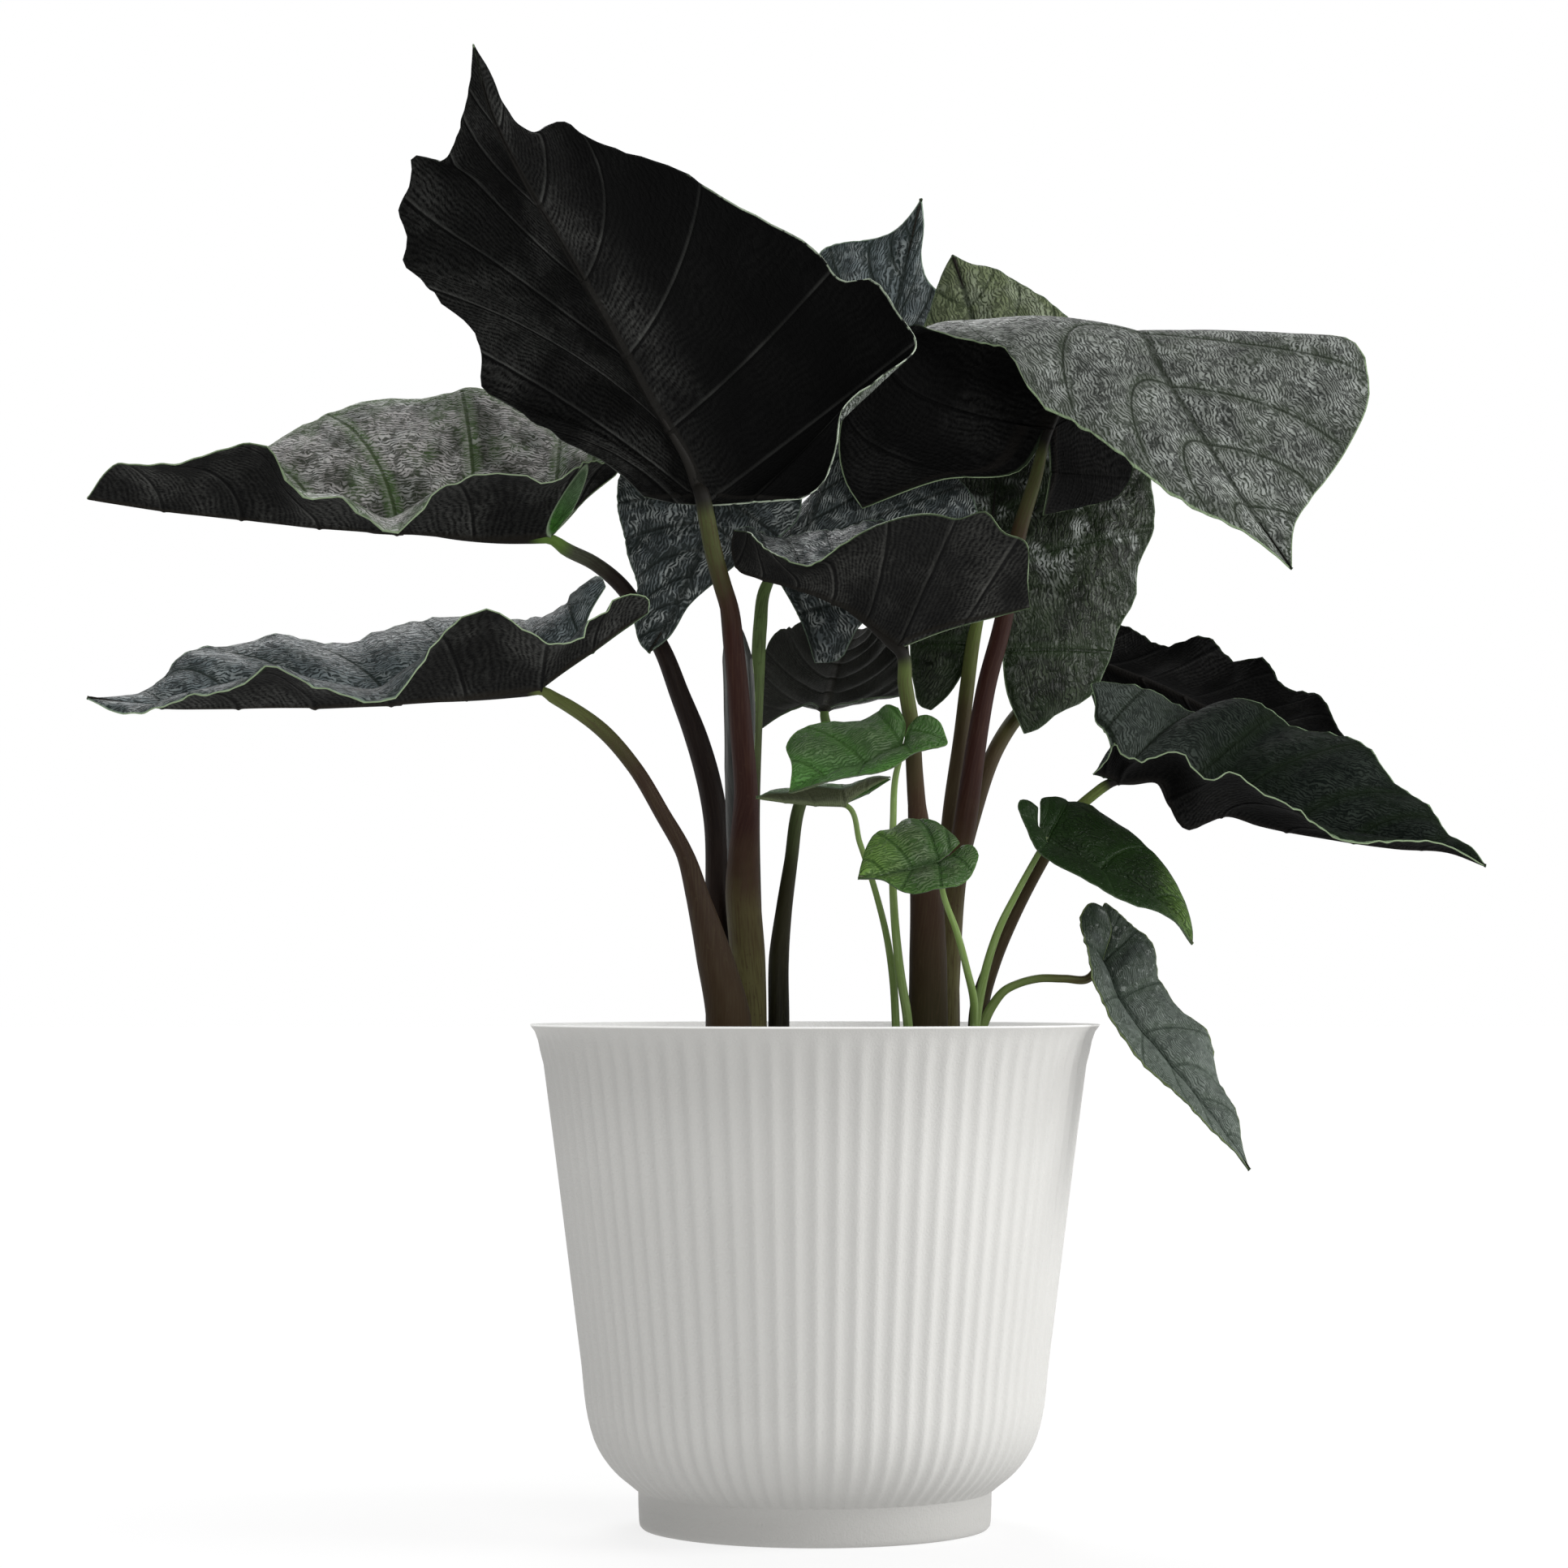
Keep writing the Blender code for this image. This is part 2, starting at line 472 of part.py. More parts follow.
def smooth_curve(points):
    """Return the knots, from 0 to 1, of a smooth curve through points, and its reader."""
    points = np.array(points, dtype=float)
    steps = np.linalg.norm(np.diff(points, axis=0), axis=1)
    knots = np.concatenate([[0.0], np.cumsum(steps)]) / steps.sum()
    slopes = np.gradient(points, knots, axis=0)

    def read(share):
        share = np.clip(np.asarray(share, dtype=float), 0.0, 1.0)
        span = np.clip(np.searchsorted(knots, share, side="right") - 1, 0, len(knots) - 2)
        width = (knots[span + 1] - knots[span])[:, None]
        u = (share[:, None] - knots[span][:, None]) / width
        start = points[span] * (1 + 2 * u) * (1 - u) ** 2
        leave = slopes[span] * width * u * (1 - u) ** 2
        end = points[span + 1] * u ** 2 * (3 - 2 * u)
        arrive = slopes[span + 1] * width * u ** 2 * (u - 1)
        return start + leave + end + arrive

    return knots, read


def knotted(points, joint, share):
    """Return a reader of the curve that reaches point number joint at this share of its run."""
    knots, read = smooth_curve(points)

    def place(along):
        return read(np.interp(along, [0.0, share, 1.0], [0.0, knots[joint], 1.0]))

    return place


def across(inner, crown, outer, t):
    """Return the point at t of the arc from inner through crown, at its middle, to outer."""
    return (1 - t) * (1 - 2 * t) * inner + 4 * t * (1 - t) * crown + t * (2 * t - 1) * outer


def side_rows(leaf, hand, along, share, stops, phase):
    """Return one side's grid of points, a row for each share along and a column for each stop."""
    side = leaf[hand]
    midrib = [seen(point) for point in leaf["midrib"]]
    sinus = [seen(point) for point in side["sinus"]] + midrib[:1]
    margin = [seen(point) for point in side["lobe"] + side["margin"]]
    to_joint = smooth_curve(sinus)[1](along / share)
    to_tip = smooth_curve(midrib)[1]((along - share) / (1 - share))
    inner = np.where((along < share)[:, None], to_joint, to_tip)
    outer = knotted(sinus[:1] + margin + midrib[-1:], len(side["lobe"]), share)(along)

    # The upper face's direction, from the run of the rows and the way to the tip
    reach = outer - inner
    ahead = np.gradient((inner + outer) / 2, along, axis=0)
    up = np.cross(reach, ahead) if hand == "right" else np.cross(ahead, reach)
    up /= np.maximum(np.linalg.norm(up, axis=1), 1e-9)[:, None]
    width = np.linalg.norm(reach, axis=1)[:, None]
    if "crown" in side:
        before, after = ([seen(point) for point in part] for part in side["crown"])
        crown = knotted(sinus[:1] + before + after + midrib[-1:], len(before), share)(along)
    else:
        crown = (inner + outer) / 2 + up * width * side.get("arch", ARCH)

    # Puffs between the side veins, and a waved margin
    creases = leaf_creases(leaf)
    fullness = np.minimum(width / 30.0, 1.0)
    puff = PUFF_HEIGHT * 0.5 * (1 - np.cos(2 * np.pi * creases * along))[:, None]
    wave = MARGIN_WAVE * np.sin(2 * np.pi * (0.5 * creases * along + phase))[:, None]
    rows = []
    for t in stops:
        lift = puff * math.sin(math.pi * t) + wave * t ** 3
        rows.append(across(inner, crown, outer, t) + up * fullness * lift)
    return np.stack(rows, axis=1)


def leaf_creases(leaf):
    """Return how many side veins each half of this leaf has."""
    return YOUNG_CREASES if leaf in [LEAVES[name] for name in YOUNG] else CREASES


def blade_sheet(leaf, phase):
    """Return the points and triangles of a leaf's middle surface, and each point's keel height."""
    row_count = leaf_creases(leaf) * CREASE_ROWS
    lobe_rows = LOBE_CREASES * CREASE_ROWS
    along = np.linspace(0.0, 1.0, row_count + 1)
    points = []
    keels = []
    triangles = []
    shared = {}

    def index(hand, row, column, point):
        if row == row_count:
            key = "tip"
        elif row == 0:
            key = (hand, "lobe end")
        elif column == 0 and row >= lobe_rows:
            key = ("midrib", row)
        else:
            key = (hand, row, column)
        if key not in shared:
            shared[key] = len(points)
            points.append(point)
            on_midrib = column == 0 and lobe_rows <= row < row_count
            thinning = 1 - (row - lobe_rows) / (row_count - lobe_rows)
            keels.append(KEEL_HEIGHT * thinning if on_midrib else 0.0)
        return shared[key]

    for number, hand in enumerate(("left", "right")):
        grid = side_rows(leaf, hand, along, lobe_rows / row_count, COLUMN_STOPS,
                         phase + 0.3 * number)
        ids = [[index(hand, row, column, grid[row, column]) for column in range(len(COLUMN_STOPS))]
               for row in range(row_count + 1)]
        for row in range(row_count):
            for column in range(len(COLUMN_STOPS) - 1):
                near, far = ids[row][column], ids[row][column + 1]
                next_far, next_near = ids[row + 1][column + 1], ids[row + 1][column]
                for corners in ((near, far, next_far), (near, next_far, next_near)):
                    if len(set(corners)) == 3:
                        triangles.append(corners if hand == "right" else corners[::-1])
    return np.array(points), triangles, np.array(keels)


def sheet_normals(points, triangles):
    """Return the mean normal of a sheet at each of its points."""
    corners = points[np.array(triangles)]
    faces = np.cross(corners[:, 1] - corners[:, 0], corners[:, 2] - corners[:, 0])
    normals = np.zeros_like(points)
    for place in range(3):
        np.add.at(normals, np.array(triangles)[:, place], faces)
    return normals / np.linalg.norm(normals, axis=1)[:, None]


def make_blade(name, leaf, phase):
    """Make a leaf blade: two faces with the same triangles, closed round the edge."""
    points, triangles, keels = blade_sheet(leaf, phase)
    normals = sheet_normals(points, triangles)
    upper = points + normals * BLADE_THICKNESS / 2
    lower = points - normals * (BLADE_THICKNESS / 2 + keels[:, None])
    count = len(points)
    faces = [tuple(corners) for corners in triangles]
    faces += [tuple(corner + count for corner in corners[::-1]) for corners in triangles]
    edges = {(corners[k], corners[(k + 1) % 3]) for corners in triangles for k in range(3)}
    for start, end in sorted(edges):
        if (end, start) not in edges:
            faces.append((end, start, start + count))
            faces.append((end, start + count, end + count))
    finish = LEAF_FINISH.get(name, GREY_LEAF)
    return add_object("blade_" + name, np.vstack([upper, lower]), faces, finish)


def tube(path, radii, sides):
    """Return the points and faces of a closed round tube along a path."""
    ahead = np.gradient(path, axis=0)
    ahead /= np.linalg.norm(ahead, axis=1)[:, None]
    aside = np.cross(ahead, (0.0, 1.0, 0.0))
    aside /= np.linalg.norm(aside, axis=1)[:, None]
    away = np.cross(ahead, aside)
    points = []
    for place, side, back, radius in zip(path, aside, away, radii):
        for k in range(sides):
            turn = 2 * math.pi * k / sides
            points.append(place + radius * (math.cos(turn) * side + math.sin(turn) * back))
    faces = []
    for ring in range(len(path) - 1):
        for k in range(sides):
            low, high = ring * sides, (ring + 1) * sides
            following = (k + 1) % sides
            faces.append((low + k, low + following, high + following, high + k))
    last = (len(path) - 1) * sides
    faces.append(tuple(range(sides - 1, -1, -1)))
    faces.append(tuple(last + k for k in range(sides)))
    return points, faces


def stalk_line(stalk):
    """Return readers of a stalk's path and radius, from its root in the soil to its joint."""
    points = [seen(point) for point in stalk][::-1]
    radii = [point[3] for point in stalk][::-1]
    root = (points[0][0], points[0][1], SOIL_TOP - ROOT_DEPTH)
    knots, read = smooth_curve([root] + points)
    return read, lambda share: np.interp(share, knots, [radii[0]] + radii), knots[1]


def to_tree(points, faces):
    """Return a search tree of a closed shape."""
    return BVHTree.FromPolygons([tuple(map(float, point)) for point in points], faces)


def stalk_rings(stalk, end):
    """Return the ring centres and radii of a stalk as far as this share of its path."""
    read, radius, first = stalk_line(stalk)
    shares = np.concatenate([[0.0], np.linspace(first, end, STALK_STEPS - 1)])
    radii = radius(shares)
    radii[-1] *= JOINT_TAPER
    return read(shares), radii


def stalk_shape(stalk, end):
    """Return the points and faces of a stalk as far as this share of its path."""
    return tube(*stalk_rings(stalk, end), STALK_SIDES)


def clearance(stalk_points, stalk_faces, blade_points, blade_tree):
    """Return how far a stalk stays from a blade, or zero where they cross."""
    tree = to_tree(stalk_points, stalk_faces)
    if tree.overlap(blade_tree):
        return 0.0
    ends = stalk_points[-2 * STALK_SIDES:] + [sum(stalk_points[-STALK_SIDES:]) / STALK_SIDES]
    from_stalk = min(blade_tree.find_nearest(Vector(point))[3] for point in ends)
    from_blade = min(tree.find_nearest(Vector(point))[3] for point in blade_points)
    return min(from_stalk, from_blade)


def make_furled_leaf():
    """Make the rolled new leaf in one piece with its stalk."""
    points, faces = tube(*stalk_rings(FURLED_LEAF, 1.0), STALK_SIDES)
    add_object("furled_leaf", points, faces, GREEN_STALK)


def make_stalk(name, stalk, blade):
    """Make a stalk that ends just short of its blade, and return the share where it ends."""
    blade_points = [vertex.co / MM for vertex in blade.data.vertices]
    blade_faces = [tuple(face.vertices) for face in blade.data.polygons]
    blade_tree = to_tree(blade_points, blade_faces)
    end = 1.0
    points, faces = stalk_shape(stalk, end)
    while clearance(points, faces, blade_points, blade_tree) < GAP:
        end -= JOINT_STEP
        points, faces = stalk_shape(stalk, end)
    finish = GREEN_STALK if name in YOUNG + ["hanging"] else BROWN_STALK
    add_object("stalk_" + name, points, faces, finish)
    return end


def lathe(profile, segments, radius_of, height_of):
    """Return the points and faces of a profile turned round Z, from axis to axis."""
    rings = profile[1:-1]
    points = [(0.0, 0.0, profile[0][1])]
    for ring in rings:
        for k in range(segments):
            turn = 2 * math.pi * k / segments
            radius = radius_of(ring, k)
            x, y = radius * math.cos(turn), radius * math.sin(turn)
            points.append((x, y, height_of(ring, x, y)))
    points.append((0.0, 0.0, height_of(profile[-1], 0.0, 0.0)))
    faces = []
    for k in range(segments):
        following = (k + 1) % segments
        faces.append((0, 1 + following, 1 + k))
        for ring in range(len(rings) - 1):
            low = 1 + ring * segments
            high = low + segments
            faces.append((low + k, low + following, high + following, high + k))
        last = 1 + (len(rings) - 1) * segments
        faces.append((last + k, last + following, len(points) - 1))
    return points, faces


def make_pot():
    """Make the fluted pot: foot, ribbed body, flared plain lip, and its inner wall and floor."""
    def radius_of(ring, k):
        crest = 0.0 if k % 2 else RIB_HEIGHT
        return ring[0] + crest * (ring[2] if len(ring) > 2 else 0.0)

    profile = [(0.0, 0.0)] + POT_OUTSIDE + POT_INSIDE + [(0.0, POT_INSIDE[-1][1])]
    points, faces = lathe(profile, 2 * RIB_COUNT, radius_of, lambda ring, x, y: ring[1])
    return add_object("pot", points, faces, POT_FINISH)


def soil_height(x, y):
    """Return the height of the soil's bumpy, slightly crowned surface."""
    edge = math.hypot(x, y) / POT_INSIDE[2][0]
    bumps = math.sin(0.17 * x + 1.0) * math.cos(0.21 * y) + 0.6 * math.sin(0.33 * y - 0.29 * x)
    return SOIL_TOP + SOIL_CROWN * (1 - edge ** 2) + SOIL_BUMP * bumps * (1 - edge ** 4)


def make_soil(ends):
    """Make the soil that fills the pot, with a plain hole for each stalk."""
    wall = [(radius - GAP * 1.4, height) for radius, height in POT_INSIDE[3:]]
    wall[-1] = (wall[-1][0], wall[-1][1] + GAP)
    slope = (POT_INSIDE[2][0] - POT_INSIDE[3][0]) / (POT_INSIDE[2][1] - POT_INSIDE[3][1])
    edge = POT_INSIDE[3][0] + slope * (SOIL_TOP - POT_INSIDE[3][1]) - GAP * 1.4
    surface = [(edge * share, None) for share in (1.0, 0.88, 0.66, 0.44, 0.22)]
    profile = [(0.0, wall[-1][1])] + wall[::-1] + surface + [(0.0, None)]

    def height_of(ring, x, y):
        return soil_height(x, y) if ring[1] is None else ring[1]

    points, faces = lathe(profile, SOIL_SEGMENTS, lambda ring, k: ring[0], height_of)
    soil = add_object("soil", points, faces, SOIL_FINISH)
    for name, end in ends.items():
        stalk = STALKS.get(name, FURLED_LEAF)
        cutter = add_object("hole_" + name, *hole_shape(stalk, end), SOIL_FINISH)
        cutter.hide_render = True
        cutter.display_type = "WIRE"
        cut = soil.modifiers.new("hole_" + name, "BOOLEAN")
        cut.operation = "DIFFERENCE"
        cut.solver = "EXACT"
        cut.object = cutter
    return soil


def hole_shape(stalk, end):
    """Return the points and faces of a stalk's hole in the soil, as far as it has to reach."""
    spare = GAP / math.cos(math.pi / STALK_SIDES)
    path, radii = stalk_rings(stalk, end)
    count = 1 + int(np.argmax(path[:, 2] > SOIL_TOP + SOIL_CROWN + SOIL_BUMP * 2))
    path = path[:count].copy()
    path[0, 2] -= GAP
    return tube(path, radii[:count] + spare, STALK_SIDES)


def build():
    """Build the potted plant."""
    clear_scene()
    make_pot()
    ends = {}
    for number, (name, leaf) in enumerate(LEAVES.items()):
        blade = make_blade(name, leaf, PHASE_STEP * number)
        ends[name] = make_stalk(name, STALKS[name], blade)
    make_furled_leaf()
    ends["furled_leaf"] = 1.0
    make_soil(ends)


build()
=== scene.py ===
# %% [markdown]
# # A potted alocasia
# The plant stands in a white fluted pot. Seventeen leaves hang and reach on arching stalks, one
# leaf is still rolled up, and the stalks grow out of dark soil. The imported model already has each
# leaf as a coarse solid at its place. This lesson dresses it: every leaf gets a fine mesh with
# veins, waves and two different faces, and each stalk, the pot and the soil get their own finish.

# %% Load the frame
import math
import random

import bpy
import numpy as np
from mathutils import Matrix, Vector, noise


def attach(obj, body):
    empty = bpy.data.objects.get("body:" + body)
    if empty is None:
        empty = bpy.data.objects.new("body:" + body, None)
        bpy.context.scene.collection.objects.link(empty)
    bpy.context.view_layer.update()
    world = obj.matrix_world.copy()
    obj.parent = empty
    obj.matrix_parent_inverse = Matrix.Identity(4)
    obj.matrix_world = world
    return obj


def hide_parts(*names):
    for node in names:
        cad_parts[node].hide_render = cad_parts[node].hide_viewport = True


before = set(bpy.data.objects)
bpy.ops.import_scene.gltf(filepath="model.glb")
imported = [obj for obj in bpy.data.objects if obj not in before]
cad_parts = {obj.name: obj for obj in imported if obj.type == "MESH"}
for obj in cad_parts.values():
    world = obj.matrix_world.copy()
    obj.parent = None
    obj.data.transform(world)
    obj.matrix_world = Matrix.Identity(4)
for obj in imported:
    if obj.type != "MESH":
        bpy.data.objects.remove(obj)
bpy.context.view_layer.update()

MM = 0.001
bpy.ops.object.select_all(action="DESELECT")

# %% [markdown]
# ## The camera
# The photograph was taken from a low standpoint, a little above the pot's rim, about 1.9 m away.
# The view looks straight ahead, and the frame is moved up by a shift, as an architect's camera
# does it: upright things stay upright. A tilt would do it too, but it would make them lean.

# %% Camera at the photograph's standpoint
EYE_X, EYE_DISTANCE, EYE_Z = -13.0, 1895.0, 230.6
FRAME_WIDTH = 660.5
FRAME_CENTRE_Z = 313.0
SENSOR = 36.0

bpy.ops.object.camera_add(location=(EYE_X * MM, -EYE_DISTANCE * MM, EYE_Z * MM),
                          rotation=(math.radians(90), 0, 0))
camera = bpy.context.object
camera.name = "camera"
camera.data.sensor_width = SENSOR
camera.data.lens = SENSOR * EYE_DISTANCE / FRAME_WIDTH
camera.data.shift_y = (FRAME_CENTRE_Z - EYE_Z) / FRAME_WIDTH
bpy.context.scene.camera = camera
print("lens", round(camera.data.lens, 1), "mm, shift", round(camera.data.shift_y, 3))

# %% [markdown]
# ## Leaf outlines
# A leaf of this plant is an arrow head: a midrib runs from the stalk's joint to the tip, and two
# lobes reach back past the joint, with a slit between them, the sinus. Each leaf folds and bends
# in its own way, so each has its own lines, drawn as the eye sees them. A point is x and z in the
# plane of the pot's axis, then its depth behind that plane, all in millimetres. Sides are named as
# they lie when the upper face is looked at with the tip ahead.

# %% [markdown]
# ### The crest leaf
# The largest leaf stands at the top with its back to the viewer, so what shows is its nearly
# black velvety underside. Its margin has several shallow bumps, which need closer points.

# %% The crest leaf
LEAVES = {}
LEAVES["crest"] = {
    "midrib": [(-46, 430, -30), (-54, 450, -38), (-70, 476, -48), (-87, 507, -58),
               (-107, 541, -68), (-124, 570, -77), (-136, 595, -84), (-144, 625, -90)],
    "left": {
        "sinus": [(-6, 433, -36), (-30, 431, -33)],
        "lobe": [(2, 438, -36), (9, 454, -38), (12, 471, -40), (28, 484, -42),
                 (43, 498, -44)],
        "margin": [(35, 512, -42), (24, 526, -38), (12, 525, -34), (0, 538, -34),
                   (-21, 551, -36), (-39, 561, -40), (-56, 571, -44), (-80, 579, -50),
                   (-92, 584, -54), (-107, 593, -60), (-119, 588, -66), (-130, 597, -74),
                   (-137, 613, -82)],
    },
    "right": {
        "sinus": [(-72, 434, -26), (-58, 431, -28)],
        "lobe": [(-85, 446, -26), (-104, 458, -26), (-124, 470, -28), (-141, 481, -30),
                 (-141, 494, -33)],
        "margin": [(-147, 508, -36), (-154, 514, -39), (-167, 526, -43), (-174, 531, -45),
                   (-172, 542, -49), (-175, 555, -53), (-170, 567, -56), (-170, 577, -58),
                   (-158, 575, -63), (-152, 583, -69), (-147, 599, -78)],
    },
}
print("outlines drawn:", len(LEAVES))

# %% [markdown]
# ### The two leaves on the left
# Two leaves reach out to the left nearly level. Their halves fold down on both sides of the
# midrib like a roof, so the near half shows its dark back and the far half its grey face.

# %% The two leaves on the left
LEAVES["upper_left"] = {
    "midrib": [(-111, 417, 28), (-138, 416, 27), (-169, 419, 25), (-207, 421, 22),
               (-241, 424, 19), (-275, 428, 15), (-307, 433, 10)],
    "left": {
        "sinus": [(-84, 443, 4), (-95, 434, 11), (-105, 424, 18), (-109, 419, 24)],
        "lobe": [(-82, 446, 2), (-90, 449, -2), (-99, 446, -6)],
        "margin": [(-111, 440, -10), (-123, 444, -12), (-136, 445, -14), (-153, 439, -18),
                   (-160, 434, -22), (-167, 424, -25), (-178, 418, -28), (-191, 428, -27),
                   (-200, 435, -25), (-215, 434, -24), (-225, 443, -18), (-232, 455, -12),
                   (-246, 455, -11), (-265, 450, -12), (-281, 448, -9), (-295, 447, -2)],
    },
    "right": {
        "sinus": [(-88, 442, 46), (-98, 431, 39), (-106, 422, 32)],
        "lobe": [(-85, 446, 50), (-94, 455, 56), (-107, 461, 58)],
        "margin": [(-130, 474, 62), (-143, 479, 64), (-159, 476, 64), (-189, 475, 62),
                   (-207, 467, 59), (-225, 458, 54), (-240, 450, 48), (-262, 443, 38),
                   (-285, 437, 24)],
    },
}
LEAVES["lower_left"] = {
    "midrib": [(-115, 353, -25), (-138, 350, -26), (-189, 347, -28), (-241, 345, -31),
               (-273, 345, -34), (-307, 349, -38)],
    "left": {
        "sinus": [(-70, 385, -44), (-77, 380, -43), (-91, 370, -38), (-107, 359, -29)],
        "lobe": [(-70, 391, -46), (-77, 393, -50), (-83, 391, -53), (-87, 385, -56),
                 (-94, 381, -58), (-98, 375, -60), (-112, 374, -63)],
        "margin": [(-124, 380, -65), (-138, 386, -66), (-149, 381, -69), (-169, 361, -76),
                   (-180, 349, -79), (-200, 350, -79), (-217, 355, -77), (-229, 363, -73),
                   (-244, 355, -71), (-263, 350, -66), (-275, 344, -60), (-290, 342, -50)],
    },
    "right": {
        "sinus": [(-88, 396, 4), (-94, 386, -2), (-99, 373, -12)],
        "lobe": [(-90, 400, 8), (-98, 396, 9), (-108, 388, 10), (-124, 382, 12)],
        "margin": [(-149, 383, 14), (-166, 383, 14), (-183, 378, 13), (-196, 371, 12),
                   (-212, 372, 10), (-225, 377, 7), (-244, 372, 2), (-265, 367, -6),
                   (-276, 356, -14), (-290, 350, -24)],
    },
}
print("outlines drawn:", len(LEAVES))

# %% [markdown]
# ### The folded leaf on the upper right
# This leaf rises and then bends over towards the viewer. Its right half is bent so strongly
# that it gets one more line, the crown, which the middle of the half follows.

# %% The folded leaf on the upper right
LEAVES["upper_right"] = {
    "midrib": [(98, 462, 25), (113, 490, 28), (135, 504, 18), (146, 487, -4),
               (159, 466, -20), (180, 433, -38), (201, 403, -50)],
    "left": {
        "sinus": [(96, 426, 20), (99, 446, 24)],
        "lobe": [(115, 430, 34), (128, 434, 42), (136, 459, 50), (146, 489, 54)],
        "margin": [(159, 500, 52), (187, 496, 44), (207, 501, 34), (227, 498, 22),
                   (234, 480, 6), (226, 457, -12), (218, 444, -21), (209, 433, -30),
                   (202, 421, -43)],
        "arch": 0.0,
    },
    "right": {
        "sinus": [(20, 429, 12), (53, 441, 14), (88, 446, 20)],
        "lobe": [(13, 440, 14), (11, 465, 18), (24, 489, 20), (40, 506, 14)],
        "margin": [(53, 504, 2), (67, 500, -8), (81, 494, -18), (87, 484, -26),
                   (96, 473, -32), (108, 467, -36), (122, 456, -42), (135, 445, -46),
                   (156, 432, -51), (180, 419, -53), (195, 408, -52)],
        "crown": ([(24, 448, 20), (38, 480, 26)],
                  [(56, 505, 22), (80, 508, 8), (102, 504, -6), (122, 487, -20),
                   (143, 463, -34), (170, 436, -46)]),
    },
}
print("outlines drawn:", len(LEAVES))

# %% [markdown]
# ### The leaves behind
# Two leaves stand upright at the back and show their faces between the others.

# %% The leaves behind
LEAVES["rear_top"] = {
    "midrib": [(24, 459, 100), (28, 482, 103), (33, 506, 104), (38, 530, 101), (45, 560, 94)],
    "left": {
        "sinus": [(4, 438, 104), (14, 449, 101)],
        "lobe": [(-8, 450, 108), (-12, 475, 112), (-10, 500, 114)],
        "margin": [(-4, 525, 114), (4, 539, 112), (12, 541, 110), (21, 542, 107),
                   (33, 546, 103), (42, 555, 97)],
    },
    "right": {
        "sinus": [(46, 438, 104), (35, 449, 101)],
        "lobe": [(58, 450, 108), (62, 472, 111), (59, 492, 111)],
        "margin": [(50, 510, 109), (52, 519, 107), (47, 526, 104), (45, 535, 101),
                   (46, 549, 97)],
    },
}
LEAVES["rear_right"] = {
    "midrib": [(72, 404, 50), (76, 438, 62), (75, 472, 74), (67, 507, 83), (58, 536, 88)],
    "left": {
        "sinus": [(49, 344, 44), (56, 350, 43), (61, 357, 42), (65, 366, 43), (68, 378, 44)],
        "lobe": [(44, 346, 45), (42, 353, 47), (40, 373, 52), (37, 404, 58)],
        "margin": [(35, 438, 68), (37, 472, 78), (42, 496, 84), (48, 511, 87),
                   (52, 524, 89), (55, 531, 89)],
    },
    "right": {
        "sinus": [(88, 334, 44), (81, 350, 43), (78, 375, 45)],
        "lobe": [(94, 336, 47), (101, 342, 50), (115, 349, 55), (124, 364, 60), (129, 380, 64),
                 (135, 390, 67), (136, 404, 70), (142, 419, 74)],
        "margin": [(142, 438, 78), (135, 466, 84), (122, 493, 88), (103, 512, 91),
                   (88, 523, 91), (74, 531, 90), (66, 532, 89)],
    },
}
print("outlines drawn:", len(LEAVES))

# %% [markdown]
# ### The leaves in the middle
# Four smaller leaves fill the middle of the plant, turned in all directions.

# %% The leaves in the middle
LEAVES["middle"] = {
    "midrib": [(36, 370, -60), (16, 385, -50), (-6, 395, -38), (-24, 400, -26),
               (-32, 403, -18), (-35, 412, -13), (-34, 420, -9)],
    "left": {
        "arch": 0.04,
        "sinus": [(91, 387, -61), (76, 383, -62), (54, 377, -62)],
        "lobe": [(90, 397, -64), (88, 416, -66), (80, 419, -67), (72, 428, -66),
                 (60, 425, -66)],
        "margin": [(50, 427, -67), (28, 423, -65), (12, 414, -62), (-2, 406, -55),
                   (-18, 410, -42), (-27, 419, -23)],
    },
    "right": {
        "arch": 0.03,
        "sinus": [(62, 388, -34), (48, 379, -46)],
        "lobe": [(68, 400, -24), (60, 414, -18), (46, 421, -15)],
        "margin": [(26, 423, -9), (8, 421, -3), (-8, 417, 2), (-20, 419, 4),
                   (-29, 421, 1)],
    },
}
LEAVES["rear_middle"] = {
    "midrib": [(-18, 402, 30), (-4, 420, 28), (4, 440, 32), (9, 458, 38), (11, 471, 45)],
    "left": {
        "sinus": [(-27, 402, 38), (-22, 402, 34)],
        "lobe": [(-27, 410, 42), (-17, 419, 43)],
        "margin": [(-10, 425, 45), (0, 437, 47), (8, 452, 47)],
    },
    "right": {
        "sinus": [(0, 364, 20), (-5, 379, 21), (-14, 396, 26)],
        "lobe": [(10, 365, 18), (18, 378, 18), (36, 390, 22), (60, 407, 28), (69, 424, 33)],
        "margin": [(64, 438, 37), (46, 452, 41), (26, 463, 44)],
    },
}
LEAVES["drooping"] = {
    "midrib": [(-42, 435, 18), (-46, 418, 15), (-53, 400, 12), (-61, 383, 9), (-70, 368, 6)],
    "left": {
        "sinus": [(-17, 442, 24), (-31, 440, 20)],
        "lobe": [(-6, 435, 24), (-7, 425, 23), (-15, 417, 22)],
        "margin": [(-25, 411, 20), (-42, 398, 17), (-53, 388, 13), (-62, 374, 8)],
    },
    "right": {
        "sinus": [(-71, 450, 26), (-56, 445, 21)],
        "lobe": [(-81, 446, 26), (-83, 431, 25)],
        "margin": [(-79, 411, 23), (-75, 395, 19), (-76, 380, 13), (-73, 371, 8)],
    },
}
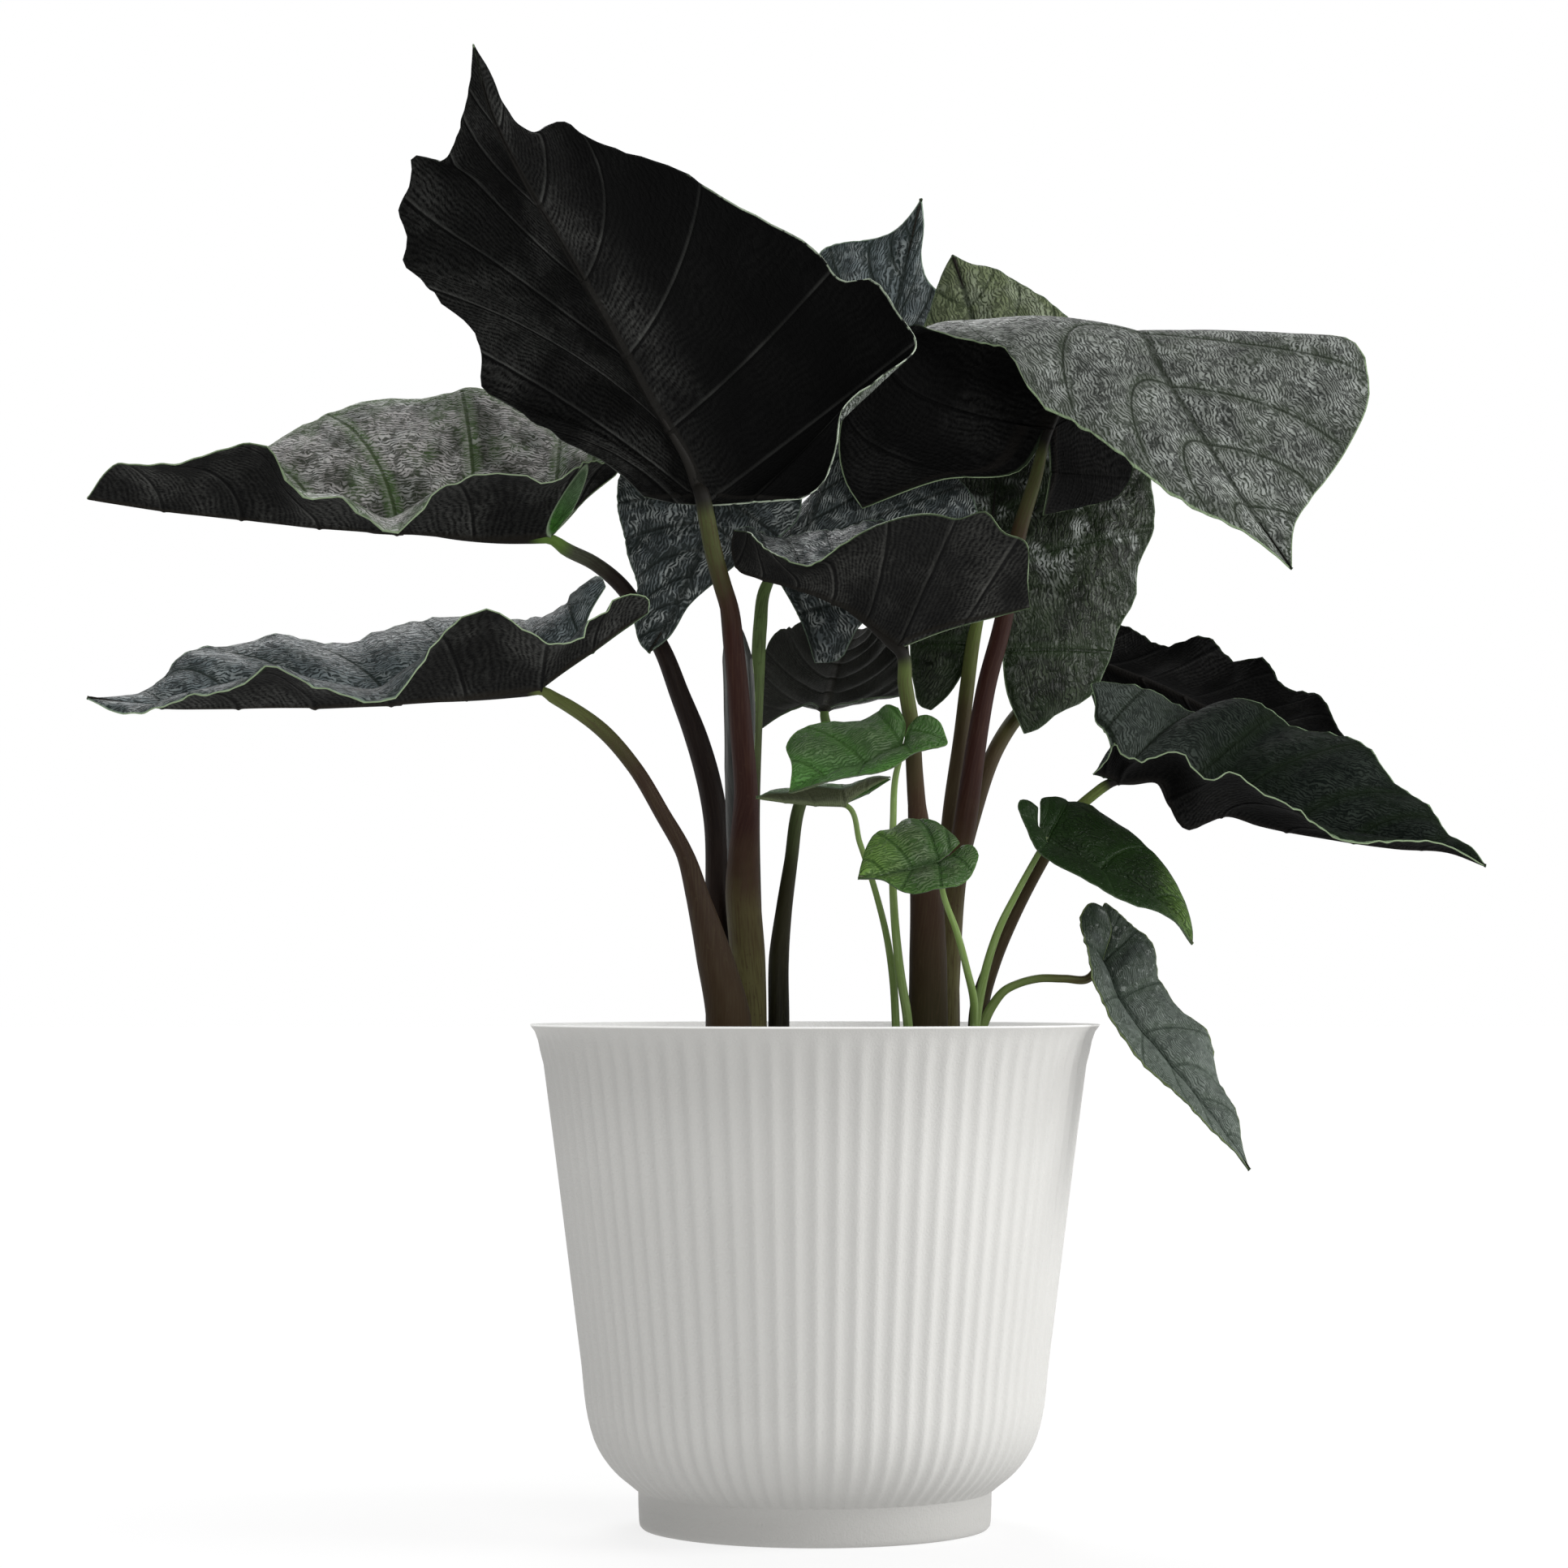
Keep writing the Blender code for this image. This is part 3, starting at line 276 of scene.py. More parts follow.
LEAVES["rear_low"] = {
    "midrib": [(4, 344, 45), (7, 354, 62), (11, 366, 82), (19, 378, 106)],
    "left": {
        "sinus": [(36, 350, 50), (23, 349, 48), (14, 347, 46), (8, 346, 45)],
        "lobe": [(40, 355, 57), (40, 363, 66)],
        "margin": [(38, 374, 80), (30, 381, 94)],
    },
    "right": {
        "sinus": [(-23, 336, 50), (-14, 342, 48), (-7, 345, 46), (-1, 347, 45)],
        "lobe": [(-24, 344, 56), (-22, 357, 64)],
        "margin": [(-20, 372, 76), (-10, 380, 90), (4, 384, 102)],
    },
}
print("outlines drawn:", len(LEAVES))

# %% [markdown]
# ### The leaves on the right
# The wavy leaf on the right leans to the viewer, and a smooth dark one reaches out behind it.

# %% The leaves on the right
LEAVES["right"] = {
    "midrib": [(127, 314, -15), (140, 315, -16), (147, 314, -16), (150, 305, -16),
               (157, 294, -17), (164, 297, -17), (172, 300, -17), (187, 296, -18),
               (218, 290, -19), (245, 286, -20), (268, 284, -21), (283, 278, -22)],
    "left": {
        "sinus": [(116, 355, 12), (118, 348, 8), (118, 339, 3), (122, 335, -2),
                  (124, 330, -6), (125, 323, -10)],
        "lobe": [(119, 356, 15), (130, 355, 19), (142, 351, 23), (156, 345, 26),
                 (163, 344, 27)],
        "margin": [(169, 346, 28), (175, 349, 28), (187, 346, 27), (200, 338, 24),
                   (218, 335, 19), (231, 329, 13), (243, 315, 6), (258, 305, -2),
                   (267, 291, -11), (277, 286, -18)],
    },
    "right": {
        "sinus": [(117, 317, -26), (121, 316, -20)],
        "lobe": [(122, 321, -30), (125, 325, -34), (126, 330, -38), (131, 326, -43),
                 (140, 323, -46)],
        "margin": [(153, 325, -48), (158, 320, -49), (164, 315, -50), (177, 319, -50),
                   (187, 310, -49), (204, 300, -47), (224, 290, -43), (245, 288, -37),
                   (264, 288, -29)],
    },
}
LEAVES["right_rear"] = {
    "midrib": [(120, 363, 88), (146, 353, 80), (170, 342, 74), (204, 334, 66), (229, 327, 58)],
    "left": {
        "sinus": [(118, 346, 70), (116, 355, 80)],
        "lobe": [(130, 342, 62), (145, 337, 57)],
        "margin": [(165, 331, 53), (190, 327, 51), (212, 325, 53)],
    },
    "right": {
        "sinus": [(119, 382, 100), (115, 372, 94)],
        "lobe": [(128, 380, 103), (136, 377, 103), (148, 372, 102)],
        "margin": [(166, 374, 99), (177, 366, 95), (188, 366, 90), (197, 355, 84),
                   (212, 351, 75), (221, 336, 66)],
    },
}
print("outlines drawn:", len(LEAVES))

# %% [markdown]
# ### The young leaves
# Four young leaves grow low over the pot. They are small, smooth and green.

# %% The young leaves
LEAVES["young_centre"] = {
    "midrib": [(37, 329, -75), (22, 321, -79), (6, 315, -83), (-4, 311, -86), (-11, 309, -90)],
    "left": {
        "sinus": [(43, 341, -66), (40, 338, -68)],
        "lobe": [(47, 342, -65), (52, 340, -67), (55, 334, -71), (56, 330, -75),
                 (53, 328, -80), (41, 325, -90)],
        "margin": [(33, 321, -97), (23, 317, -102), (12, 314, -104), (0, 313, -100)],
    },
    "right": {
        "sinus": [(35, 345, -61), (38, 339, -66)],
        "lobe": [(32, 346, -60), (26, 344, -60)],
        "margin": [(19, 340, -60), (14, 339, -61), (5, 338, -63), (-1, 337, -66),
                   (-8, 335, -71), (-12, 329, -78), (-10, 322, -84)],
    },
}
LEAVES["young_left"] = {
    "midrib": [(13, 305, -52), (-1, 305, -55), (-15, 306, -58), (-25, 307, -60)],
    "left": {
        "sinus": [(32, 316, -56), (22, 311, -54)],
        "lobe": [(27, 316, -62), (19, 314, -66), (12, 312, -68)],
        "margin": [(-1, 311, -69), (-12, 310, -67), (-20, 309, -64)],
    },
    "right": {
        "sinus": [(32, 315, -42), (22, 309, -47)],
        "lobe": [(24, 315, -36), (12, 312, -32)],
        "margin": [(-5, 312, -36), (-17, 310, -46)],
    },
}
LEAVES["young_front"] = {
    "midrib": [(52, 280, -92), (42, 277, -96), (30, 274, -100), (18, 273, -104)],
    "left": {
        "sinus": [(62, 287, -87), (57, 283, -89)],
        "lobe": [(66, 287, -87), (69, 283, -90), (68, 279, -94), (66, 275, -99),
                 (62, 271, -104), (53, 268, -110)],
        "margin": [(45, 267, -113), (35, 269, -113), (28, 272, -110), (22, 273, -107)],
    },
    "right": {
        "sinus": [(61, 288, -83), (57, 284, -87)],
        "lobe": [(59, 291, -80), (54, 295, -76), (44, 298, -74)],
        "margin": [(38, 299, -76), (33, 295, -79), (26, 292, -84), (22, 287, -90),
                   (20, 281, -97)],
    },
}
LEAVES["young_right"] = {
    "midrib": [(97, 288, -50), (113, 280, -54), (133, 270, -58), (150, 258, -61),
               (159, 245, -64)],
    "left": {
        "sinus": [(95, 303, -45), (95, 296, -48)],
        "lobe": [(95, 305, -42), (96, 307, -38), (101, 307, -32), (107, 306, -28)],
        "margin": [(112, 306, -27), (117, 305, -27), (122, 301, -28), (130, 295, -31),
                   (139, 286, -38), (148, 277, -44), (156, 264, -51), (159, 252, -58)],
    },
    "right": {
        "sinus": [(94, 303, -50), (94, 296, -51)],
        "lobe": [(90, 306, -50), (86, 306, -53), (85, 303, -57), (87, 298, -61),
                 (90, 293, -66), (95, 285, -72)],
        "margin": [(101, 279, -77), (112, 272, -81), (123, 267, -83), (135, 263, -82),
                   (144, 260, -78), (151, 255, -74), (156, 249, -69)],
    },
}
print("outlines drawn:", len(LEAVES))

# %% [markdown]
# ### The hanging leaf
# One narrow leaf hangs over the pot's rim.

# %% The hanging leaf
LEAVES["hanging"] = {
    "midrib": [(121, 238, -20), (130, 219, -27), (146, 199, -34), (163, 178, -39),
               (183, 150, -45)],
    "left": {
        "sinus": [(121, 261, -18), (122, 256, -17), (123, 251, -18), (122, 246, -18)],
        "lobe": [(122, 263, -16), (125, 261, -15), (130, 257, -13), (136, 252, -11)],
        "margin": [(141, 247, -10), (143, 240, -10), (144, 233, -11), (149, 226, -12),
                   (155, 217, -14), (164, 209, -18), (171, 187, -25), (178, 172, -33),
                   (180, 161, -39)],
    },
    "right": {
        "sinus": [(122, 261, -23), (124, 256, -22), (125, 251, -22), (123, 244, -21)],
        "lobe": [(116, 263, -25), (112, 257, -28), (112, 252, -30), (113, 246, -32)],
        "margin": [(115, 239, -34), (117, 231, -36), (121, 223, -37), (124, 214, -39),
                   (132, 202, -44), (145, 189, -48), (161, 173, -51), (176, 159, -50)],
    },
}
print("outlines drawn:", len(LEAVES))

# %% [markdown]
# ## From lines to surfaces
# A drawn point has to lie where the eye's sight line through it reaches its depth. Then each half
# of a blade is a surface between two rails: the inner one runs along the slit and the midrib, the
# outer one along the lobe and the margin. A spline through the points gives a rail without kinks.

# %% Points and smooth lines
def seen(point):
    """Place a drawn point where the eye's sight line through it reaches its depth."""
    x, z, depth = point[:3]
    reach = (EYE_DISTANCE + depth) / EYE_DISTANCE
    return (EYE_X + (x - EYE_X) * reach, depth, EYE_Z + (z - EYE_Z) * reach)


def smooth_curve(points):
    """Return the knots, from 0 to 1, of a smooth curve through points, and its reader."""
    points = np.array(points, dtype=float)
    steps = np.linalg.norm(np.diff(points, axis=0), axis=1)
    knots = np.concatenate([[0.0], np.cumsum(steps)]) / steps.sum()
    slopes = np.gradient(points, knots, axis=0)

    def read(share):
        share = np.clip(np.asarray(share, dtype=float), 0.0, 1.0)
        span = np.clip(np.searchsorted(knots, share, side="right") - 1, 0, len(knots) - 2)
        width = (knots[span + 1] - knots[span])[:, None]
        u = (share[:, None] - knots[span][:, None]) / width
        start = points[span] * (1 + 2 * u) * (1 - u) ** 2
        leave = slopes[span] * width * u * (1 - u) ** 2
        end = points[span + 1] * u ** 2 * (3 - 2 * u)
        arrive = slopes[span + 1] * width * u ** 2 * (u - 1)
        return start + leave + end + arrive

    return knots, read


def knotted(points, joint, share):
    """Return a reader of the curve that reaches point number joint at this share of its run."""
    knots, read = smooth_curve(points)
    return lambda along: read(np.interp(along, [0.0, share, 1.0], [0.0, knots[joint], 1.0]))


print("a point 60 mm in front of the axis:", [round(c, 1) for c in seen((100, 400, -60))])

# %% [markdown]
# The rails are read closely once, and any place on the half is then looked up between them. The
# half arches across, away from the straight line between its rails. The way up is averaged over
# one side vein's spacing, or every bump of the margin would tilt the whole blade.

# %% The rails of one half
CREASES = 8
YOUNG_CREASES = 5
LOBE_CREASES = 2
ARCH = 0.10
READ_STEPS = 400
YOUNG = ["young_centre", "young_left", "young_front", "young_right"]


def creases_of(name):
    """Return how many side veins each half of this leaf has, lobes included."""
    return YOUNG_CREASES if name in YOUNG else CREASES


def steady(values, span):
    """Return the running mean of rows of values over this many rows."""
    padded = np.pad(values, ((span // 2, span // 2), (0, 0)), mode="edge")
    sums = np.cumsum(np.vstack([np.zeros(values.shape[1]), padded]), axis=0)
    return (sums[span:] - sums[:-span])[:len(values)] / span


def read_half(name, hand):
    """Return one half's rails, crown and way up at close steps along it, in millimetres."""
    leaf, side = LEAVES[name], LEAVES[name][hand]
    creases = creases_of(name)
    share = LOBE_CREASES / creases
    along = np.linspace(0.0, 1.0, READ_STEPS + 1)
    midrib = [seen(point) for point in leaf["midrib"]]
    sinus = [seen(point) for point in side["sinus"]] + midrib[:1]
    edge = [seen(point) for point in side["lobe"] + side["margin"]]
    to_joint = smooth_curve(sinus)[1](along / share)
    to_tip = smooth_curve(midrib)[1]((along - share) / (1 - share))
    inner = np.where((along < share)[:, None], to_joint, to_tip)
    outer = knotted(sinus[:1] + edge + midrib[-1:], len(side["lobe"]), share)(along)
    reach = outer - inner
    ahead = np.gradient((inner + outer) / 2, along, axis=0)
    up = np.cross(reach, ahead) if hand == "right" else np.cross(ahead, reach)
    up = steady(up, READ_STEPS // (2 * creases))
    up /= np.linalg.norm(up, axis=1)[:, None]
    width = np.linalg.norm(reach, axis=1)[:, None]
    if "crown" in side:
        before, after = ([seen(point) for point in part] for part in side["crown"])
        crown = knotted(sinus[:1] + before + after + midrib[-1:], len(before), share)(along)
    else:
        crown = (inner + outer) / 2 + up * width * side.get("arch", ARCH)
    return {"along": along, "inner": inner, "crown": crown, "outer": outer, "up": up,
            "width": width, "share": share, "creases": creases}


def look_up(half, key, along):
    """Return one of the half's lines at these shares along it."""
    lines = half[key]
    return np.stack([np.interp(along, half["along"], line) for line in lines.T], axis=-1)


print("the crest leaf's left half is at most",
      round(float(read_half("crest", "left")["width"].max())), "mm wide")

# %% [markdown]
# ## Grids
# Leaf blades, stalks and the soil are all sheets that are bent or rolled, so they all start as
# Blender's grid primitive, which comes with a UV map. Its points are then moved to their places,
# and points that meet are merged. Sculpting could do it by hand, but not to the tenth of a
# millimetre that the solids underneath ask for.

# %% A grid whose points are given places
MERGE = 0.00001


def placed_grid(name, points, uv=None, values=None):
    """Make a grid from rows and columns of points in millimetres, with its UV map and values."""
    rows, columns = points.shape[0] - 1, points.shape[1] - 1
    bpy.ops.object.select_all(action="DESELECT")
    bpy.ops.mesh.primitive_grid_add(x_subdivisions=columns, y_subdivisions=rows, size=1)
    piece = bpy.context.object
    piece.name = piece.data.name = name
    flat = np.empty(len(piece.data.vertices) * 3)
    piece.data.vertices.foreach_get("co", flat)
    column = np.rint((flat[0::3] + 0.5) * columns).astype(int)
    row = np.rint((flat[1::3] + 0.5) * rows).astype(int)
    piece.data.vertices.foreach_set("co", (points[row, column] * MM).ravel())
    if uv is not None:
        corner = np.empty(len(piece.data.loops), dtype=int)
        piece.data.loops.foreach_get("vertex_index", corner)
        piece.data.uv_layers[0].data.foreach_set("uv", uv[row, column][corner].ravel())
    for key, value in (values or {}).items():
        attribute = piece.data.attributes.new(key, "FLOAT", "POINT")
        attribute.data.foreach_set("value", value[row, column].ravel())
    piece.data.update()
    return piece


def in_edit_mode(piece, *steps):
    """Select one piece whole in edit mode and take these steps there."""
    bpy.ops.object.select_all(action="DESELECT")
    piece.select_set(True)
    bpy.context.view_layer.objects.active = piece
    bpy.ops.object.mode_set(mode="EDIT")
    bpy.ops.mesh.select_all(action="SELECT")
    for step in steps:
        step()
    bpy.ops.object.mode_set(mode="OBJECT")


def merge_points():
    """Merge selected points that lie at one place."""
    bpy.ops.mesh.remove_doubles(threshold=MERGE)


def joined(name, pieces):
    """Join pieces into one object of this name."""
    bpy.ops.object.select_all(action="DESELECT")
    for piece in pieces:
        piece.select_set(True)
    bpy.context.view_layer.objects.active = pieces[0]
    bpy.ops.object.join()
    pieces[0].name = pieces[0].data.name = name
    return pieces[0]


def finished(piece, slot, *nodes):
    """Let a piece ride on the body and hide the nodes that it stands for; slot is not used."""
    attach(piece, "root")
    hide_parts(*nodes)
    print(piece.name, "has", len(piece.data.polygons), "faces")


print("grid helpers are ready")

# %% [markdown]
# ## Arithmetic with sockets
# A material is a net of nodes. Adding each Math node by hand hides the formula, so one small
# class wraps a socket and lets Python's own operators add the nodes.

# %% A socket that can be calculated with
class Wire:
    """An output socket that Python's operators can use."""

    def __init__(self, finish, socket):
        self.finish = finish
        self.socket = socket

    def math(self, operation, *others):
        """Return what a Math node makes of this socket and any others."""
        return self.finish.node("ShaderNodeMath", {"operation": operation},
                                dict(enumerate((self, *others))))

    def __add__(self, other):
        return self.math("ADD", other)

    def __sub__(self, other):
        return self.math("SUBTRACT", other)

    def __rsub__(self, other):
        return self * -1.0 + other

    def __mul__(self, other):
        return self.math("MULTIPLY", other)

    def __truediv__(self, other):
        return self.math("DIVIDE", other)

    __radd__ = __add__
    __rmul__ = __mul__

    def wave(self):
        """Return a wave from 0 to 1 that has one crest for each whole number."""
        return (self * (2 * math.pi)).math("SINE") * 0.5 + 0.5


# %% A finish that is being built
class Finish:
    """A Principled material, one method that adds any node, and short names for common ones."""

    def __init__(self, name, roughness=0.5, **constants):
        self.material = bpy.data.materials.new(name)
        self.material.use_nodes = True
        self.tree = self.material.node_tree
        self.shader = self.tree.nodes["Principled BSDF"]
        self.shader.inputs["Roughness"].default_value = roughness
        for key, value in constants.items():
            self.shader.inputs[key.replace("_", " ")].default_value = value

    def node(self, kind, settings=None, inputs=None, output=0):
        """Add a node, set it, give its sockets values or links, and return one output."""
        made = self.tree.nodes.new(kind)
        for key, value in (settings or {}).items():
            setattr(made, key, value)
        for key, value in (inputs or {}).items():
            self.feed(made.inputs[key], value)
        return Wire(self, made.outputs[output])

    def feed(self, socket, value):
        """Link a wire to a socket, or set the socket to a value."""
        if isinstance(value, Wire):
            self.tree.links.new(value.socket, socket)
        else:
            socket.default_value = value

    def place(self):
        """Return the object coordinates, in metres."""
        return self.node("ShaderNodeTexCoord", output="Object")

    def axis(self, letter):
        """Return one object coordinate, in metres."""
        return self.node("ShaderNodeSeparateXYZ", inputs={0: self.place()}, output=letter)

    def value(self, name):
        """Return a value that the mesh carries."""
        return self.node("ShaderNodeAttribute", {"attribute_name": name}, output="Fac")

    def uv_map(self):
        """Return the mesh's own UV map."""
        return self.node("ShaderNodeUVMap", output="UV")

    def vein_count(self):
        """Return the UV map's first number, which counts a leaf's side veins."""
        return self.node("ShaderNodeSeparateXYZ", inputs={0: self.uv_map()}, output="X")

    def noise(self, size, detail=2.0, stretch=None):
        """Return noise from 0 to 1 whose features are about this many millimetres across."""
        place = self.place()
        if stretch:
            place = self.node("ShaderNodeVectorMath", {"operation": "MULTIPLY"},
                              {0: place, 1: stretch})
        return self.node("ShaderNodeTexNoise", {}, {"Vector": place, "Scale": 1 / (size * MM),
                                                    "Detail": detail}, "Fac")

    def fibres(self, scale):
        """Return noise on the UV map, which is drawn out into fibres along a stalk."""
        return self.node("ShaderNodeTexNoise", {}, {"Vector": self.uv_map(), "Scale": scale,
                                                    "Detail": 3.0}, "Fac")

    def smooth(self, value, low, high):
        """Return 0 below low, 1 above high and a smooth step between."""
        return self.node("ShaderNodeMapRange", {"interpolation_type": "SMOOTHSTEP"},
                         {"Value": value, "From Min": low, "From Max": high}, "Result")

    def mix(self, factor, first, second):
        """Mix two colours."""
        first, second = ((*colour, 1.0) if isinstance(colour, tuple) else colour
                         for colour in (first, second))
        return self.node("ShaderNodeMix", {"data_type": "RGBA"},
                         {0: factor, 6: first, 7: second}, 2)

    def bump(self, height, depth, strength=1.0):
        """Let a height from 0 to 1, this many millimetres deep, turn the surface's normal."""
        return self.node("ShaderNodeBump", {}, {"Height": height, "Distance": depth * MM,
                                                "Strength": strength}, "Normal")

    def done(self, **sockets):
        """Feed the shader's sockets and return the material."""
        for key, value in sockets.items():
            self.feed(self.shader.inputs[key.replace("_", " ")], value)
        return self.material


print("shader helpers are ready")

# %% [markdown]
# ## Leaf finishes
# The face of an older leaf is dark grey-green under a net of fine raised lines, whose silvery
# sheen is painted into the colour. Its back is nearly black velvet, and each side vein is a dark
# ridge with a painted highlight on one flank. A photo texture would carry the photo's light with
# it, so lines and colours come from formulas. They need to know how far a place is from the next
# side vein, from the midrib and from the margin. Each mesh carries those distances in millimetres,
# and its UV map counts side veins along and runs 0 to 1 across.

# %% Lines that every leaf has: where each begins and where it is full, in millimetres
VEIN_LINE = (1.2, 0.3)
# One flank of each side vein, where a painted highlight goes.
PAINTED_HIGHLIGHT_FLANK_FAR, PAINTED_HIGHLIGHT_FLANK_NEAR = (2.8, 1.2), (0.5, 1.0)
MIDRIB_LINE = (1.7, 0.5)
MARGIN_LINE = (0.9, 0.36)
CLEAR_OF_VEIN, CLEAR_OF_MARGIN = (1.5, 6.0), (1.5, 8.0)
BRANCH_SPACING = 3.6
BRANCH_LINE = (0.55, 0.15)
CELL_SIZE = 4.2


def leaf_lines(finish, spacing=1.6, cells=(0.40, 0.85)):
    """Return the masks of side veins, the flanks that get painted highlight, midrib, margin,
    branches, net and plain.
    """
    beyond = ((finish.vein_count() + 0.5).math("FRACT") - 0.5) * finish.value("pitch")
    apart = beyond.math("ABSOLUTE")
    edge = finish.value("edge")
    vein = finish.smooth(apart, *VEIN_LINE)
    painted_highlight_flank = finish.smooth(beyond, *PAINTED_HIGHLIGHT_FLANK_FAR) * finish.smooth(beyond, *PAINTED_HIGHLIGHT_FLANK_NEAR)
    midrib = finish.smooth(finish.value("rib"), *MIDRIB_LINE)
    margin = finish.smooth(edge, *MARGIN_LINE)
    plain = finish.smooth(apart, *CLEAR_OF_VEIN) * finish.smooth(edge, *CLEAR_OF_MARGIN)

    across = finish.value("across")
    swirl = finish.noise(15.0, 1.0) * 7.0 + finish.noise(3.5, 1.0) * 2.2
    ripple = (across / spacing + swirl).wave()
    wander = (finish.noise(CELL_SIZE, 1.5) - 0.5).math("ABSOLUTE")
    broken = finish.smooth(finish.noise(3.0, 1.0), 0.36, 0.52)
    net = (finish.smooth(ripple, *cells) * (broken * 0.8 + 0.2)).math(
        "MAXIMUM", finish.smooth(wander, 0.035, 0.0) * 0.8)
    curl = across / BRANCH_SPACING + finish.noise(11.0, 2.0) * 2.2
    beside = (curl.math("FRACT") - 0.5).math("ABSOLUTE") * BRANCH_SPACING
    branch = (finish.smooth(beside, *BRANCH_LINE)
              * finish.smooth(finish.noise(5.0, 1.0), 0.42, 0.55))
    return vein, painted_highlight_flank, midrib, margin, branch, net, plain


# %% [markdown]
# On the face the net is lighter than the ground, as painted sheen, more in some patches than in
# others, and one flank of each side vein has a painted highlight. The ground turns greener near
# the veins. A few leaves also have painted glints, small spots of painted highlight where the net
# is nearly white, on the glossy face only above a set height, and an end that turns paler or
# greener.

# %% The face of a leaf
# The tint of the painted glints, spots of painted highlight on the net.
PAINTED_GLINT_TINT = (0.62, 0.66, 0.63)
SHEEN_PATCH_SIZE = 17.0
FRESH_SIZE = 21.0
SWELL_SIZE = 6.5
FACE_CHOICES = {
    "roughness": 0.45, "gleam": 0.15, "spacing": 1.6, "cells": (0.15, 0.50), "swell": 0.5,
    "silver": 0.8, "clouds": 0.5, "glints": 0.0, "spots": (9.0, 3.0, 0.46, 0.66),
    "glints_from": None, "pale_end": None,
}


def leaf_face(name, dark, light, green, vein_tint, margin_tint, **choices):
    """Make a leaf's upper face: dark, with a raised net lightened by painted sheen and glints."""
    look = FACE_CHOICES | choices
    finish = Finish("leaf_" + name, look["roughness"], Specular_IOR_Level=look["gleam"])
    vein, painted_highlight_flank, midrib, margin, branch, net, plain = leaf_lines(
        finish, look["spacing"], look["cells"])
    # Painted sheen: the raised net and noise patches are made lighter in the colour.
    patch = finish.smooth(finish.noise(SHEEN_PATCH_SIZE, 2.5), 0.40, 0.58)
    shine = (patch * look["clouds"] + (1 - look["clouds"])) * (plain * 0.5 + 0.5)
    fresh = finish.smooth(finish.noise(FRESH_SIZE, 2.0, (1.0, 0.8, 1.2)), 0.46, 0.64)
    ground = finish.mix((fresh * 0.7).math("MAXIMUM", 1 - plain), dark, green)
    raised = net * (shine * 0.8 + 0.2) * (1 - branch * 0.75) * (1 - vein * 0.8)
    colour = finish.mix((raised + shine * 0.14) * look["silver"], ground, light)
    # Painted glints: spots of painted highlight on the net, on the glossy face only above a set
    # height.
    if look["glints"]:
        size, detail, begins, full = look["spots"]
        painted_glint_spot = finish.smooth(finish.noise(size, detail), begins, full)
        if look["glints_from"]:
            letter, begins, full = look["glints_from"]
            painted_glint_spot = painted_glint_spot * finish.smooth(finish.axis(letter), begins, full)
        colour = finish.mix(net * painted_glint_spot * look["glints"], colour, PAINTED_GLINT_TINT)
    if look["pale_end"]:
        letter, begins, full, tint = look["pale_end"]
        end = finish.smooth(finish.axis(letter), begins, full)
        colour = finish.mix(end * (net * 0.5 + 0.25), colour, tint)
    colour = finish.mix((vein * 0.6).math("MAXIMUM", midrib * 0.8), colour, vein_tint)
    # Painted highlight on one flank of each side vein.
    colour = finish.mix(painted_highlight_flank * 0.12, colour, light)
    colour = finish.mix(margin, colour, margin_tint)
    swell = finish.noise(SWELL_SIZE, 1.0) * (look["swell"] * 2.0)
    height = net * 0.45 - vein * 0.25 - branch * 0.2 + swell
    return finish.done(Base_Color=colour, Normal=finish.bump(height, 1.0, 0.9),
                       Roughness=look["roughness"] + 0.1 - net * 0.12)


# %% [markdown]
# The back is hatched along the side veins. On the crest leaf the hatching and the flanks' painted
# highlights fade out towards the right, as painted shade on that side, and the margin there gets a
# broken pale rim of painted highlight. One lobe of the upper left leaf is folded over its back and
# shows there as a small green tongue. It lies flat on the blade, so it is only coloured in.

# %% The back of a leaf
HATCHES_A_VEIN = 13.0
# Painted shade on the crest's back runs across it this way; the pale rim is painted highlight.
PAINTED_SHADE_WAY = (0.894, 0.447)
PAINTED_HIGHLIGHT_RIM = (0.36, 0.43, 0.32)
BACK_CHOICES = {"roughness": 0.7, "shine": 0.05, "ridge": 0.3, "hatching": 1.0,
                "sleek_from": None, "green_lobe": False}

LOBE_START = (-0.1136, 0.4190)
LOBE_AHEAD = (0.5325, 0.8465)
LOBE_LENGTH, LOBE_WIDTH = 0.034, 0.0085
LOBE_TAPER = 0.45


def with_green_lobe(finish, colour, net):
    """Lay the green lobe, a tapered oval with a pale rim, on a leaf's colour."""
    x, z = finish.axis("X") - LOBE_START[0], finish.axis("Z") - LOBE_START[1]
    along = (x * LOBE_AHEAD[0] + z * LOBE_AHEAD[1]) * (2 / LOBE_LENGTH) - 1
    beside = (x * LOBE_AHEAD[1] - z * LOBE_AHEAD[0]) * (2 / LOBE_WIDTH)
    beside = beside * (along * LOBE_TAPER + 1.15)
    from_middle = along * along + beside * beside
    green = finish.mix(finish.smooth(along, -0.9, 0.6), (0.040, 0.140, 0.018),
                       (0.10, 0.16, 0.085))
    green = finish.mix(net * 0.5, green, (0.018, 0.035, 0.012))
    green = finish.mix(finish.smooth(from_middle, 0.6, 0.95), green, (0.26, 0.34, 0.22))
    return finish.mix(finish.smooth(from_middle, 1.0, 0.85), colour, green)


